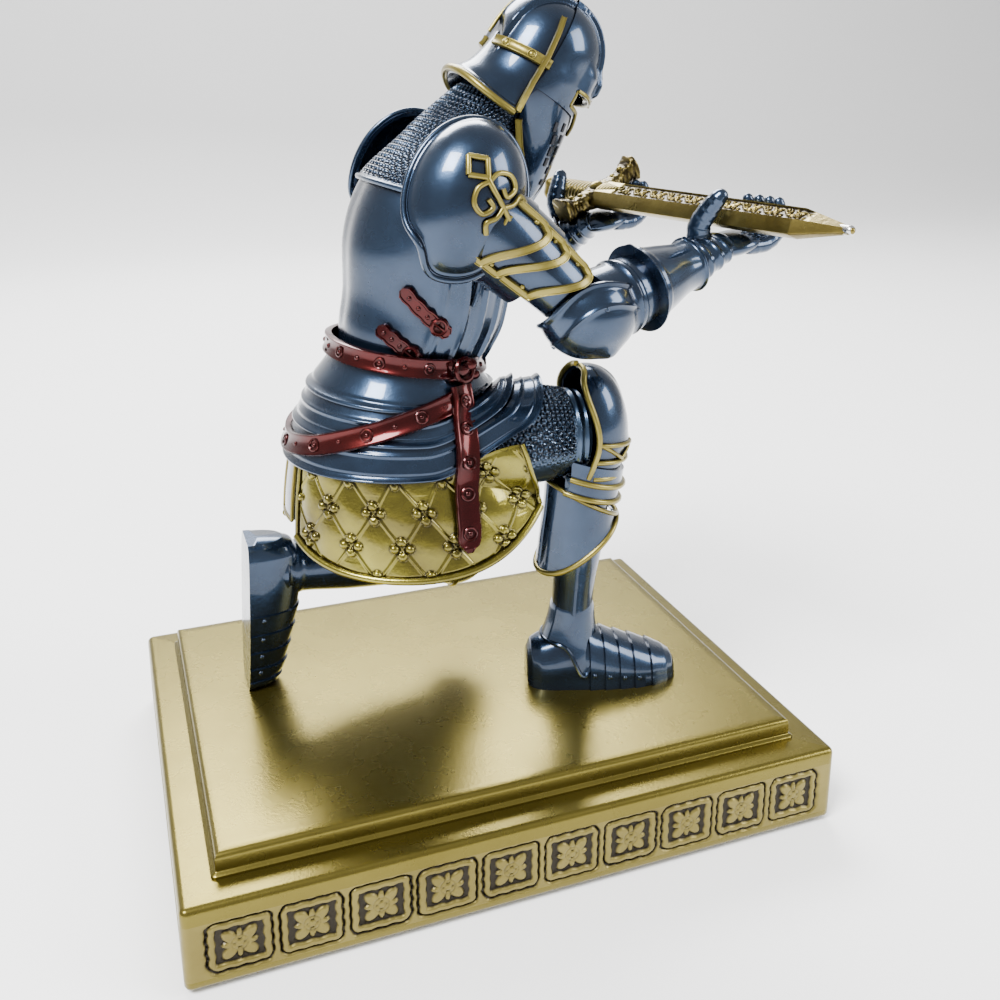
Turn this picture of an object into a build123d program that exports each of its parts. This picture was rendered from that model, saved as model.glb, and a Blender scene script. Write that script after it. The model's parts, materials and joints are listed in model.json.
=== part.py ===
"""Kneeling knight desk statuette that presents a sword-shaped ball pen, on a stepped plinth.

Millimetres, +Z up, the knight faces +X. The origin is the centre of the felt underside that rests on
the desk. Every armour plate, strap and fitting is its own solid and its own STEP file.
"""

from build123d import *

import math
import os

OUT_DIR = "parts"

# ---------------------------------------------------------------- driving dimensions of the plinth
BASE_L = 155.0
BASE_W = 115.0
BASE_TOP = 20.0
FELT_T = 1.0
FELT_INSET = 2.0
STEP_INSET = 8.0
STEP_TOP = 25.0
MOULDING = 0.9
EDGE_R = 1.2
TILE_W = 12.8
TILE_H = 11.4
TILE_Z = 9.6
TILE_PITCH = 14.7
TILE_DEPTH = 1.2
TILES_LONG = 10
TILES_SHORT = 7

# ---------------------------------------------------------------- screws that hold the figure
SCREW_R = 1.5
SCREW_HEAD_R = 3.2
SCREW_HEAD_T = 2.2
SCREWS = [(24.0, -10.3, 30.0), (-49.5, 14.5, 29.0)]  # x, y, reach

# ---------------------------------------------------------------- skeleton of the figure
PELVIS = Vector(-17, 2, 94)
WAIST = Vector(-14, 3, 113)
NECK = Vector(3, 3, 168)
HEAD = Vector(19, 2, 178)
HEAD_PITCH = 32.0

SHOULDER = {"right": Vector(-6, -27, 153), "left": Vector(-6, 33, 153)}
ELBOW = {"right": Vector(19.5, -33, 128.5), "left": Vector(14, 38, 126)}
WRIST = {"right": Vector(48, -26, 136), "left": Vector(39.5, 29, 135)}
HIP = {"right": Vector(-14, -10, 94), "left": Vector(-14, 15, 92)}
KNEE = {"right": Vector(29.5, -13, 92.5), "left": Vector(3, 18, 52.5)}
ANKLE = {"right": Vector(27, -11, 38), "left": Vector(-41, 14, 57)}
RIGHT_HEEL = Vector(16.2, -8.4, STEP_TOP)
RIGHT_TOE = Vector(53.5, -18.4, STEP_TOP)
LEFT_TOE = Vector(-50.8, 14.2, STEP_TOP)
LEFT_HEEL = Vector(-50, 13, 66)

# ---------------------------------------------------------------- sword pen
SWORD_Z = 147.3
SWORD_X0 = 61.6
SWORD_Y0 = -25.0
SWORD_YAW = 12.7
SWORD_ROLL = 24.0
BLADE_W = 10.4
BLADE_T = 5.6
TIP_S = 34.0
TAPER_S = 20.0
GUARD_S = -52.0
POMMEL_S = -71.0
REFILL_R = 1.15
REFILL_CLEAR = 0.08
KNOB_GAP = 0.1
PALM_S = {"right": -1.0, "left": -50.0}
THUMB_BACK = {"right": 2.5, "left": 9.5}

Z_UP = Vector(0, 0, 1)
HUGE = 400.0

parts = {}


# ---------------------------------------------------------------- helpers
def ring(centre, normal, forward, half_forward, half_side):
    """Elliptical section at centre, square to normal, with its first half-axis along forward."""
    n = normal.normalized()
    x_dir = (forward - n * forward.dot(n)).normalized()
    return Plane(origin=centre, x_dir=x_dir, z_dir=n) * Ellipse(half_forward, half_side)


def tube(stations, forward=Vector(1, 0, 0)):
    """Solid lofted through (centre, normal, half_forward, half_side) stations."""
    return loft([ring(c, n, forward, a, b) for c, n, a, b in stations])


def limb(start, end, sizes, forward=Vector(1, 0, 0)):
    """Solid from start to end; sizes are (share of the length, half_forward, half_side)."""
    axis = end - start
    return tube([(start + axis * t, axis, a, b) for t, a, b in sizes], forward)


def sleeve(start, end, sizes, wall, forward=Vector(1, 0, 0)):
    """Hollow limb: sizes give the inner surface and wall is the plate's thickness."""
    outer = [(t, a + wall, b + wall) for t, a, b in sizes]
    return limb(start, end, outer, forward) - limb(start, end, sizes, forward)


def ellipsoid(centre, a, b, c, rotation=(0, 0, 0)):
    """Ellipsoid with half-axes a, b, c, turned by rotation in degrees about X, Y, Z."""
    return Pos(*centre) * Rot(*rotation) * scale(Sphere(1), by=(a, b, c))


def slab(origin, normal, thick=HUGE):
    """Large block on the positive side of the plane through origin."""
    plane = Plane(origin=origin, z_dir=normal.normalized())
    return plane * Pos(0, 0, thick / 2) * Box(HUGE, HUGE, thick)


def largest(shape):
    """The biggest solid of a result, without the slivers a cut may leave."""
    return max(shape.solids(), key=lambda s: s.volume)


def add(name, shape, keep_all=False):
    """Files a sub-part as its biggest solid; keep_all is for groups of several solids."""
    parts[name] = shape if keep_all else largest(shape)
    return parts[name]


def minus(shape, *names):
    """The shape without the sub-parts already filed under these names."""
    for name in names:
        shape = shape - parts[name]
    return shape


# ---------------------------------------------------------------- plinth
def plinth():
    felt = Pos(0, 0, FELT_T / 2) * Box(BASE_L - 2 * FELT_INSET, BASE_W - 2 * FELT_INSET, FELT_T)
    add("felt_underside", felt)

    height = BASE_TOP - FELT_T
    slab_body = Pos(0, 0, FELT_T + height / 2) * Box(BASE_L, BASE_W, height)
    slab_body = fillet(slab_body.edges().filter_by(Axis.Z), EDGE_R)
    slab_body = fillet(slab_body.edges().group_by(Axis.Z)[-1], EDGE_R)

    tile = extrude(RectangleRounded(TILE_W, TILE_H, 1.6), TILE_DEPTH)
    tiles = []
    for side in (-1, 1):
        for i in range(TILES_LONG):
            x = (i - (TILES_LONG - 1) / 2) * TILE_PITCH
            foot = (x, side * (BASE_W / 2 - TILE_DEPTH), TILE_Z)
            tiles.append(Plane(origin=foot, x_dir=(1, 0, 0), z_dir=(0, side, 0)) * tile)
        for i in range(TILES_SHORT):
            y = (i - (TILES_SHORT - 1) / 2) * TILE_PITCH
            foot = (side * (BASE_L / 2 - TILE_DEPTH), y, TILE_Z)
            tiles.append(Plane(origin=foot, x_dir=(0, 1, 0), z_dir=(side, 0, 0)) * tile)
    frieze = Compound(children=[t.solid() for t in tiles])
    slab_body = slab_body - frieze

    step = Pos(0, 0, (BASE_TOP + STEP_TOP) / 2) * Box(
        BASE_L - 2 * STEP_INSET, BASE_W - 2 * STEP_INSET, STEP_TOP - BASE_TOP
    )
    step = fillet(step.edges().group_by(Axis.Z)[-1], 0.8)
    moulding = Pos(0, 0, BASE_TOP + MOULDING / 2) * Box(
        BASE_L - 2 * STEP_INSET + 2 * MOULDING, BASE_W - 2 * STEP_INSET + 2 * MOULDING, MOULDING
    )
    step = step + moulding

    screws = []
    for x, y, reach in SCREWS:
        shank_length = reach - FELT_T - SCREW_HEAD_T
        shank = Pos(x, y, reach - shank_length / 2) * Cylinder(SCREW_R, shank_length)
        head = Pos(x, y, FELT_T + SCREW_HEAD_T / 2) * Cylinder(SCREW_HEAD_R, SCREW_HEAD_T)
        screws.append((shank + head).solid())
    group = Compound(children=screws)
    add("mounting_screws", group, keep_all=True)
    add("plinth_slab", slab_body - group)
    add("plinth_step", step - group)
    add("frieze_tiles", frieze, keep_all=True)


# ---------------------------------------------------------------- legs
def shoe_section(centre, normal, width, height):
    """Shoe section standing on its sole: centre is on the sole's line."""
    n = normal.normalized()
    up = (Z_UP - n * Z_UP.dot(n)).normalized()
    side = up.cross(n)
    plane = Plane(origin=centre + up * (height / 2), x_dir=side, z_dir=n)
    return plane * RectangleRounded(width, height, min(width, height) * 0.28)


def right_leg():
    foot = RIGHT_TOE - RIGHT_HEEL
    stations = [
        (0.0, 11.0, 11.0), (0.12, 14.0, 14.5), (0.40, 15.6, 15.0),
        (0.72, 15.6, 10.6), (0.93, 11.0, 6.4), (1.0, 7.0, 4.2),
    ]
    shoe = loft([shoe_section(RIGHT_HEEL + foot * t, foot, w, h) for t, w, h in stations])
    add("right_sabaton", minus(shoe, "mounting_screws"))

    ankle, knee, hip = ANKLE["right"], KNEE["right"], HIP["right"]
    shin_top = knee + (ankle - knee) * 0.20
    shin_sizes = [(0, 6.8, 6.8), (0.3, 7.4, 7.2), (0.75, 5.6, 5.6), (1, 5.6, 5.6)]
    shin = limb(shin_top, ankle - Vector(0.5, 0, 4), shin_sizes)
    add("right_greave", minus(shin, "right_sabaton"))

    flare_sizes = [(0, 8.0, 8.0), (0.5, 8.2, 8.0), (1, 8.6, 8.2)]
    flare = sleeve(knee + (ankle - knee) * 0.2, knee + (ankle - knee) * 0.72, flare_sizes, 1.6)
    lower_cut = slab(knee + (ankle - knee) * 0.46, Vector(-0.55, 0.1, -1))
    add("right_greave_flare", minus(flare - lower_cut, "right_greave"))

    thigh_axis = knee - hip
    thigh_sizes = [(0, 13.0, 12.5), (0.5, 12.8, 12.0), (1, 8.8, 8.8)]
    thigh = limb(hip, knee - thigh_axis.normalized() * 4, thigh_sizes, Z_UP)
    add("right_cuisse", thigh - slab(knee + (ankle - knee) * 0.12, Vector(0.1, 0, -1)))
    cop_top = knee + Vector(-2.0, 0, 16.6)
    cop_sizes = [(0, 2.6, 3.0), (0.12, 6.4, 6.8), (0.35, 9.3, 9.8), (0.65, 10.7, 11.2), (1, 9.8, 10.6)]
    cop = limb(cop_top, knee + (ankle - knee) * 0.19, cop_sizes)
    cop = cop - slab(knee - Vector(4, 0, 0), Vector(-1, 0, -0.25))
    add("right_poleyn", minus(cop, "right_cuisse"))


def left_leg():
    sole_axis = LEFT_HEEL - LEFT_TOE
    back = Vector(-1, 0, 0)
    stations = [
        (0.0, 10.5, 6.6, 0.0), (0.12, 13.0, 8.4, 0.0), (0.38, 14.2, 10.4, 0.4),
        (0.68, 13.6, 12.6, 1.6), (0.9, 12.2, 13.4, 3.0), (1.0, 10.0, 11.6, 3.4),
    ]
    faces = []
    for t, width, depth, offset in stations:
        centre = LEFT_TOE + sole_axis * t + Vector(offset, 0, 0)
        plane = Plane(origin=centre, x_dir=(0, 1, 0), z_dir=(0, 0, 1))
        faces.append(plane * RectangleRounded(width, depth, min(width, depth) * 0.36))
    shoe = loft(faces)
    add("left_sabaton", minus(shoe, "mounting_screws"))

    ankle, knee, hip = ANKLE["left"], KNEE["left"], HIP["left"]
    shin_sizes = [(0, 6.5, 6.0), (0.35, 7.2, 6.8), (0.7, 7.6, 7.6), (1, 6.6, 6.8)]
    shin = limb(ankle - Vector(3, 0, 0), knee + (ankle - knee) * 0.16, shin_sizes, Z_UP)
    add("left_greave", minus(shin, "left_sabaton"))
    thigh = limb(hip, knee + (hip - knee) * 0.14, [(0, 13.5, 12.5), (0.5, 12.5, 12.0), (1, 9.0, 9.0)])
    add("left_cuisse", minus(thigh, "right_cuisse", "left_greave"))
    cop = ellipsoid(knee + Vector(1.2, 0, -0.4), 10.6, 10.2, 9.8)
    cop = cop - slab(knee - Vector(3, 0, 0), Vector(-1, 0, 0.2))
    cop = cop - slab(knee + Vector(0, 0, 8), Vector(-0.3, 0, 1))
    add("left_poleyn", minus(cop, "left_cuisse", "left_greave"))


# ---------------------------------------------------------------- body
SPINE = [
    # centre, half depth along X, half width along Y
    (Vector(-17, 2, 82), 19.0, 20.0),
    (PELVIS, 19.0, 20.0),
    (Vector(-12.0, 3, 113), 14.6, 16.0),
    (Vector(-7.6, 3, 126), 17.4, 17.5),
    (Vector(-6.4, 3, 138), 18.2, 19.5),
    (Vector(-4.0, 3, 155), 13.6, 18.5),
    (Vector(2.4, 3, 164), 8.6, 10.0),
]
BODY_LEAN = Vector(0.2, 0, 1)


def spine_tube(low, high, grow, shift=Vector(0, 0, 0)):
    """Solid through the spine's stations from index low to high, grown outwards by grow."""
    stations = [(c + shift, BODY_LEAN, a + grow, b + grow) for c, a, b in SPINE[low : high + 1]]
    return tube(stations)


def body():
    core = spine_tube(0, 6, 0)
    core = minus(core, "right_cuisse", "left_cuisse")
    add("torso_core", core)

    shell = spine_tube(2, 5, 2.6) - spine_tube(0, 6, 0)
    seam = Vector(1, 0.0, -0.2)
    front = shell - slab(WAIST, seam * -1)
    rear = shell - slab(WAIST, seam)
    add("breastplate", front)
    add("backplate", rear)


# Hoops of the skirt from the belt down: centre x, height, half depth, half width, forward lean.
HOOPS = [
    (-12.8, 115.2, 17.8, 19.4, 0.15),
    (-13.0, 111.0, 18.8, 20.0, 0.15),
    (-14.4, 104.4, 22.0, 22.6, 0.10),
    (-13.8, 97.2, 26.0, 25.6, 0.05),
    (-12.6, 89.5, 30.0, 27.8, 0.0),
]
HIP_Y = 2.2


def hoop_station(index, grow):
    x, z, half_x, half_y, lean = HOOPS[index]
    return (Vector(x, HIP_Y, z), Vector(lean, 0, 1), half_x + grow, half_y + grow)


def hoop(index, step_out):
    """One skirt plate between two hoops; its top edge tucks in by step_out."""
    return tube([hoop_station(index, -step_out), hoop_station(index + 1, 0.0)])


def skirts():
    inside = ("torso_core", "right_cuisse", "left_cuisse")
    add("fauld_lame_upper", minus(hoop(1, 0.6), *inside))
    add("fauld_lame_middle", minus(hoop(2, 0.9), *inside, "fauld_lame_upper"))
    add("fauld_lame_lower", minus(hoop(3, 0.9), *inside, "fauld_lame_middle"))
    belt = tube([hoop_station(0, 0.8), hoop_station(1, 1.0)])
    add("waist_belt", minus(belt, "torso_core", "breastplate", "backplate", "fauld_lame_upper"))


TASSET_RINGS = [
    # centre x, height, half depth, half width
    (-9.6, 89.5, 31.8, 26.6),
    (-7.6, 80.0, 35.2, 29.6),
    (-7.0, 67.5, 36.6, 32.0),
]
TASSET_WALL = 2.0


def tasset_skirt(grow, wall):
    """Round skirt under the lowest plate, from which the tassets are cut."""

    def bell(extra):
        return tube([(Vector(x, HIP_Y, z), Z_UP, a + extra, b + extra) for x, z, a, b in TASSET_RINGS])

    return bell(grow) - bell(grow - wall)


def tassets():
    """Hanging hip plates: two quilted gilt ones at the sides, a plain one behind."""
    skirt = tasset_skirt(0, TASSET_WALL)
    hub = Vector(-15.4, HIP_Y, 80)
    front_end = slab(Vector(12.8, HIP_Y, 80), Vector(1, 0, -0.22))
    rim_back = slab(Vector(-44, HIP_Y, 71), Vector(-0.42, 0, -1))
    rim_front = slab(Vector(12.5, HIP_Y, 76), Vector(0.55, 0, -1))
    for side, sign in (("right", -1), ("left", 1)):
        behind = slab(hub + Vector(0, sign * 7.4, 0), Vector(0, sign, 0))
        plate = skirt & behind
        plate = plate - front_end - rim_back - rim_front
        add(f"{side}_tasset", minus(plate, "right_cuisse", "left_cuisse", "right_poleyn"))
    rear = skirt - slab(hub + Vector(-14, 0, 0), Vector(1, 0, 0))
    for sign in (-1, 1):
        rear = rear - slab(hub + Vector(0, sign * 7.2, 0), Vector(0, sign, 0))
    rear = rear - slab(Vector(-44, HIP_Y, 74), Vector(0, 0, -1))
    add("rear_tasset", rear)


STRAP_W = 5.6
STRAP_T = 1.5


def hip_surface(grow):
    """The skirt's outside from the belt to the tassets' rim, swollen by grow."""
    stations = [hoop_station(i, grow) for i in range(1, len(HOOPS))]
    stations += [(Vector(x, HIP_Y, z), Z_UP, a + grow, b + grow) for x, z, a, b in TASSET_RINGS[1:]]
    return tube(stations)


def straps():
    """The slanted hip belt, the tail that hangs from the waist belt, and the side straps of the cuirass."""
    hoops = ("fauld_lame_upper", "fauld_lame_middle", "fauld_lame_lower")
    touch = (*hoops, "waist_belt", "right_cuisse", "left_cuisse")
    skirt = hip_surface(1.3) - hip_surface(-1.6)
    tail_box = Pos(-7.5, -24, 91.5) * Box(STRAP_W, 34, 36)
    plates = ("right_tasset", "left_tasset", "rear_tasset")
    add("belt_tail", minus((skirt & tail_box), *touch, *plates))
    band_n = Vector(-0.17, 0.16, 1)
    band = skirt - slab(Vector(-20, -18, 103.5), band_n) - slab(Vector(-20, -18, 98.3), band_n * -1)
    band = band - slab(Vector(-4.6, 0, 0), Vector(1, 0, 0))
    add("hip_belt", minus(band, *touch, *plates, "belt_tail", "torso_core"))
    shell = spine_tube(2, 5, 4.0) - spine_tube(2, 5, 1.6)
    buckles = []
    for x, z in ((-13.0, 130.5), (-17.0, 121.5)):
        buckles.append((shell & (Pos(x, -22, z) * Rot(0, 25, 0) * Box(13, 16, 4.2))).solid())
    group = Compound(children=buckles)
    around = ("breastplate", "backplate", "right_upper_arm", "right_pauldron")
    add("side_straps", minus(group, *around), keep_all=True)


# ---------------------------------------------------------------- sword pen
def sword_point(s, z=SWORD_Z):
    """Point on the sword's axis at distance s towards the tip from its reference point."""
    yaw = math.radians(SWORD_YAW)
    return Vector(SWORD_X0 + s * math.sin(yaw), SWORD_Y0 - s * math.cos(yaw), z)


def sword_plane(s):
    """Section plane square to the blade; local x is across the blade's flat, local y is its thickness."""
    along = sword_point(1) - sword_point(0)
    across = Z_UP.cross(along).normalized()
    tilt = math.radians(SWORD_ROLL)
    x_dir = across * math.cos(tilt) + Z_UP * math.sin(tilt)
    return Plane(origin=sword_point(s), x_dir=x_dir, z_dir=along)


def blade_section(s, width, thick):
    """Flattened hexagon across the blade."""
    flat = 0.5
    half_w, half_t = width / 2, thick / 2
    upper = [(-half_w, 0), (-half_w * flat, half_t), (half_w * flat, half_t)]
    points = upper + [(-x, -y) for x, y in upper]
    return sword_plane(s) * make_face(Polyline(*points, close=True))


def sword():
    root = blade_section(GUARD_S + 2.5, BLADE_W + 0.6, BLADE_T)
    shoulder = blade_section(TAPER_S, BLADE_W - 1.2, BLADE_T - 0.6)
    point = blade_section(TIP_S - 1.0, 2.6, 2.6)
    blade = loft([root, shoulder, point], ruled=True)
    bore = sword_plane(POMMEL_S) * extrude(Circle(REFILL_R + REFILL_CLEAR), TIP_S - POMMEL_S + 1)
    add("sword_blade", blade - bore)

    guard = sword_plane(GUARD_S - 2.5) * extrude(Rectangle(25, 5.2), 5)
    for end in (-10.5, 10.5):
        guard = guard + sword_plane(GUARD_S - 3.5) * Pos(end, 0, 0) * extrude(Rectangle(5.0, 7.2), 7)
    add("sword_guard", guard - bore)
    grip_end = POMMEL_S + 3.6
    grip = sword_plane(grip_end) * extrude(Ellipse(3.6, 3.0), GUARD_S - 2.5 - grip_end)
    add("sword_grip", minus(grip - bore, "sword_guard"))
    knob = ellipsoid(sword_point(POMMEL_S), 4.4, 5.0, 4.4)
    knob = knob - slab(sword_point(grip_end - KNOB_GAP), sword_point(1) - sword_point(0))
    add("pommel_plug", knob - sword_plane(POMMEL_S) * extrude(Circle(REFILL_R), 20))
    refill = sword_plane(POMMEL_S) * extrude(Circle(REFILL_R), TIP_S - POMMEL_S - 1.2)
    ball = ellipsoid(sword_point(TIP_S - 1.2), REFILL_R, REFILL_R, REFILL_R)
    add("ink_refill", refill + ball)


# ---------------------------------------------------------------- arms
def arm(side):
    sign = -1 if side == "right" else 1
    shoulder, elbow, wrist = SHOULDER[side], ELBOW[side], WRIST[side]
    torso = ("torso_core", "breastplate", "backplate")

    upper_sizes = [(0, 9.5, 9.5), (0.5, 8.6, 8.6), (1, 7.2, 7.2)]
    upper = limb(shoulder + Vector(0, -sign * 4, 2), elbow + (shoulder - elbow) * 0.17, upper_sizes)
    add(f"{side}_upper_arm", minus(upper, *torso))
    lower = limb(elbow + (wrist - elbow) * 0.22, wrist, [(0, 7.0, 7.0), (1, 4.6, 4.8)], Z_UP)
    add(f"{side}_forearm", lower)

    cop = ellipsoid(elbow, 11.0, 10.4, 10.4) - ellipsoid(elbow, 9.2, 8.8, 8.8)
    cop = cop - slab(elbow + Vector(2.5, 0, 5.0), Vector(0.6, 0, 1))
    add(f"{side}_couter", minus(cop, f"{side}_upper_arm", f"{side}_forearm"))

    cuff_sizes = [(0, 7.8, 7.8), (0.5, 6.4, 6.4), (1, 5.0, 5.4)]
    cuff = sleeve(elbow + (wrist - elbow) * 0.42, wrist, cuff_sizes, 1.5, Z_UP)
    add(f"{side}_gauntlet_cuff", minus(cuff, f"{side}_forearm", f"{side}_couter"))

    cap_c = shoulder + Vector(0.6 if side == "right" else 4.0, sign * 2.5, 0.4)
    cap = ellipsoid(cap_c, 12.8, 11.5, 17.5, (0, 20, 0))
    cap = cap - ellipsoid(cap_c - Vector(0, sign, 1), 11.0, 10.4, 15.8, (0, 20, 0))
    cap = cap - slab(shoulder + Vector(0, 0, -14), Vector(-0.1, 0, -1))
    add(f"{side}_pauldron", minus(cap, *torso, f"{side}_upper_arm"))
    axis = elbow - shoulder
    around = (f"{side}_upper_arm", f"{side}_pauldron", f"{side}_couter", *torso)
    for index, (t0, t1, r) in enumerate(((0.42, 0.55, 9.0), (0.55, 0.68, 8.5), (0.68, 0.80, 7.9))):
        plate = sleeve(shoulder + axis * t0, shoulder + axis * t1, [(0, r, r), (1, r, r)], 1.4)
        add(f"{side}_arm_lame_{index + 1}", minus(plate, *around))


def rod(start, end, r):
    """Round-ended rod between two points."""
    axis = end - start
    core = Plane(origin=start, z_dir=axis) * extrude(Circle(r), axis.length)
    return core + Pos(*start) * Sphere(r) + Pos(*end) * Sphere(r)


def hand(side):
    """Palm-up gauntlet with a trough for the blade: fingers ahead, thumb on the knight's side."""
    centre = sword_point(PALM_S[side])
    along = sword_point(1) - sword_point(0)
    ahead = Z_UP.cross(along)
    back = along * -1

    def spot(x, y, z):
        return centre + ahead * x + back * y + Z_UP * z

    trough = Plane(origin=centre, x_dir=ahead, z_dir=Z_UP)
    palm = trough * Pos(0.5, 0, -6.2) * Box(14.5, 13.0, 4.4)
    shape = fillet(palm.edges(), 1.6)
    for i in range(4):
        y = -5.0 + 3.3 * i
        knuckle = spot(8.9, y, -4.6)
        shape = shape + rod(spot(5.0, y, -5.9), knuckle, 1.6) + rod(knuckle, spot(9.3, y, 2.2), 1.5)
    y = THUMB_BACK[side]
    knuckle = spot(-7.6, y, -4.6)
    shape = shape + rod(spot(-4.0, y * 0.6, -6.4), knuckle, 2.0) + rod(knuckle, spot(-7.9, y, 3.4), 1.9)
    bridge = limb(WRIST[side], spot(-4, 0, -7), [(0, 4.6, 5.0), (1, 2.4, 4.6)], Z_UP)
    shape = shape + bridge
    room = sword_plane(GUARD_S - 4.2) * extrude(Rectangle(27.0, 8.0), 8.4)
    touching = (f"{side}_forearm", f"{side}_gauntlet_cuff", "sword_blade", "sword_guard")
    add(f"{side}_gauntlet", minus(shape - room, *touching))


# ---------------------------------------------------------------- head
def head_place(f, side, u):
    """Point in the pitched helmet frame: f to the face, side to the left, u to the crown."""
    pitch = math.radians(HEAD_PITCH)
    x = f * math.cos(pitch) + u * math.sin(pitch)
    z = -f * math.sin(pitch) + u * math.cos(pitch)
    return HEAD + Vector(x, side, z)


# Skull and nape sections of the helmet: forward shift, height, half depth, half width.
HELMET_BARREL = [
    (0.2, 8.0, 12.6, 12.4),
    (-0.2, 1.0, 13.2, 13.0),
    (-2.4, -5.5, 14.2, 13.4),
    (-3.4, -11.5, 15.6, 14.2),
]


def helmet():
    local = Pos(*HEAD) * Rot(0, HEAD_PITCH, 0)

    def section(f, u, half_f, half_side):
        return local * Pos(f, 0, u) * Ellipse(half_f, half_side)

    bowl = local * Pos(0.2, 0, 8.0) * scale(Sphere(1), by=(12.6, 12.4, 12.2))
    barrel = loft([section(f, u, a, b) for f, u, a, b in HELMET_BARREL], ruled=True)
    rim = slab(head_place(-17.5, 0, -8.0), head_place(-3.5, 0, -20) - HEAD)
    chin_sections = [(1.2, 4.0, 12.0, 12.2), (4.6, -10.0, 9.8, 9.6), (11.6, -22.5, 4.2, 4.4)]
    chin = loft([section(*sizes) for sizes in chin_sections])
    whole = bowl + (barrel - rim) + chin
    collar = tube([
        (Vector(0.5, 3, 152), Vector(0.3, 0, 1), 18.5, 23.0),
        (NECK + Vector(1.5, 0, -1), Vector(0.45, 0, 1), 10.4, 11.0),
        (head_place(-0.5, 1, -2), Vector(0.53, 0, 0.85), 9.6, 9.6),
    ])
    shoulders = ("pauldron", "upper_arm", "arm_lame_1")
    arms = [f"{side}_{name}" for side in ("right", "left") for name in shoulders]
    add("mail_collar", minus(collar, "torso_core", "breastplate", "backplate", *arms))
    whole = minus(whole, "mail_collar", *arms)
    face_dir = head_place(1, 0, 0) - HEAD
    crown_dir = head_place(0, 0, 1) - HEAD
    front_cut = slab(head_place(3.0, 0, 0), face_dir)
    brow_cut = slab(head_place(0, 0, -2.5), crown_dir)
    add("helmet_skull", whole - front_cut)
    front = whole & front_cut
    sight = local * Pos(12, 0, 2.0) * Box(6, 15, 1.6)
    add("helmet_visor", (front & brow_cut) - sight)
    add("helmet_bevor", front - brow_cut)
    swollen = local * Pos(0.2, 0, 8.0) * scale(Sphere(1), by=(13.3, 13.1, 12.9))
    swollen = swollen + loft(
        [section(f, u, a + 0.7, b + 0.7) for f, u, a, b in HELMET_BARREL],
        ruled=True,
    )
    brow_band = swollen & (local * Pos(-6.5, 0, 7.0) * Box(16, 40, 2.4))
    temple_band = swollen & (local * Pos(3.0, 0, 2.0) * Rot(0, 6, 0) * Box(2.4, 40, 22))
    bands = minus(brow_band + temple_band, "helmet_skull", "helmet_visor", "helmet_bevor", "mail_collar")
    pieces = [piece for piece in bands.solids() if piece.volume > 1.0]
    add("helmet_bands", Compound(children=pieces), keep_all=True)


# ---------------------------------------------------------------- build everything
plinth()
right_leg()
left_leg()
body()
skirts()
tassets()
sword()
for which in ("right", "left"):
    arm(which)
    hand(which)
straps()
helmet()

os.makedirs(OUT_DIR, exist_ok=True)
for node, shape in parts.items():
    export_step(shape, os.path.join(OUT_DIR, f"{node}.step"))
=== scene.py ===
import json
import math

import bmesh
import bpy
import numpy as np
from mathutils import Matrix, Vector


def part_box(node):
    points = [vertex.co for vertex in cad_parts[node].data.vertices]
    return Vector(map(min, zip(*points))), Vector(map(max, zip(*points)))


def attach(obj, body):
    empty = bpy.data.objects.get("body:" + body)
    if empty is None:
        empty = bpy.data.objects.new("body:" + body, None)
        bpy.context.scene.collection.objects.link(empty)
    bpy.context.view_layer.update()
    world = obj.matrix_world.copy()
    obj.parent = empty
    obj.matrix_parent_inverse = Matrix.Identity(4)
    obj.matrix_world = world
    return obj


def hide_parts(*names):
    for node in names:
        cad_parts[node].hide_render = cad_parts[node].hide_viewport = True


# The kneeling knight pen holder. Everything below is measured in millimetres in the row frame and
# turned into metres when a mesh is made.

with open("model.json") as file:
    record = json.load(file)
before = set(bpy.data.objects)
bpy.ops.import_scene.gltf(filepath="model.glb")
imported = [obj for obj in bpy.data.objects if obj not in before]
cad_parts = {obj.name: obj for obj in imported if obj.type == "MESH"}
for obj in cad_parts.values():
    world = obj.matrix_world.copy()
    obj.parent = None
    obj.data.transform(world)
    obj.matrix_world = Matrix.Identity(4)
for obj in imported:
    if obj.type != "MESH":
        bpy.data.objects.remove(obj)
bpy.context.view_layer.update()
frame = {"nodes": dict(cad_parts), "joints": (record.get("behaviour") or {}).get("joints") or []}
MM = 0.001


# ---------------------------------------------------------------- small vector helpers
def vec(*xyz):
    """Vector of plain numbers."""
    return np.array(xyz, float)


def unit(a):
    """Vectors scaled to length 1."""
    a = np.asarray(a, float)
    return a / np.maximum(np.linalg.norm(a, axis=-1, keepdims=True), 1e-9)


def mid(node):
    """Centre of a CAD node in millimetres."""
    low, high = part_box(node)
    return np.array((low + high) / 2) / MM


def low_high(node):
    """Corners of a CAD node's box in millimetres."""
    low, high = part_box(node)
    return np.array(low) / MM, np.array(high) / MM


def across(normal):
    """Unit normal and two directions square to it."""
    normal = unit(normal)
    side = unit(np.cross(normal, vec(0.31, 0.42, 0.85)))
    return normal, side, np.cross(normal, side)


def wrapped(degrees):
    """The same angle between -180 and 180."""
    return (degrees + 180) % 360 - 180


def smooth(edge0, edge1, x):
    """0 below the first edge, 1 past the second, with a soft step between."""
    t = np.clip((x - edge0) / (edge1 - edge0), 0, 1)
    return t * t * (3 - 2 * t)


def bell(x, width):
    """Bump of height 1 round zero."""
    return np.exp(-((x / width) ** 2))


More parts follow.
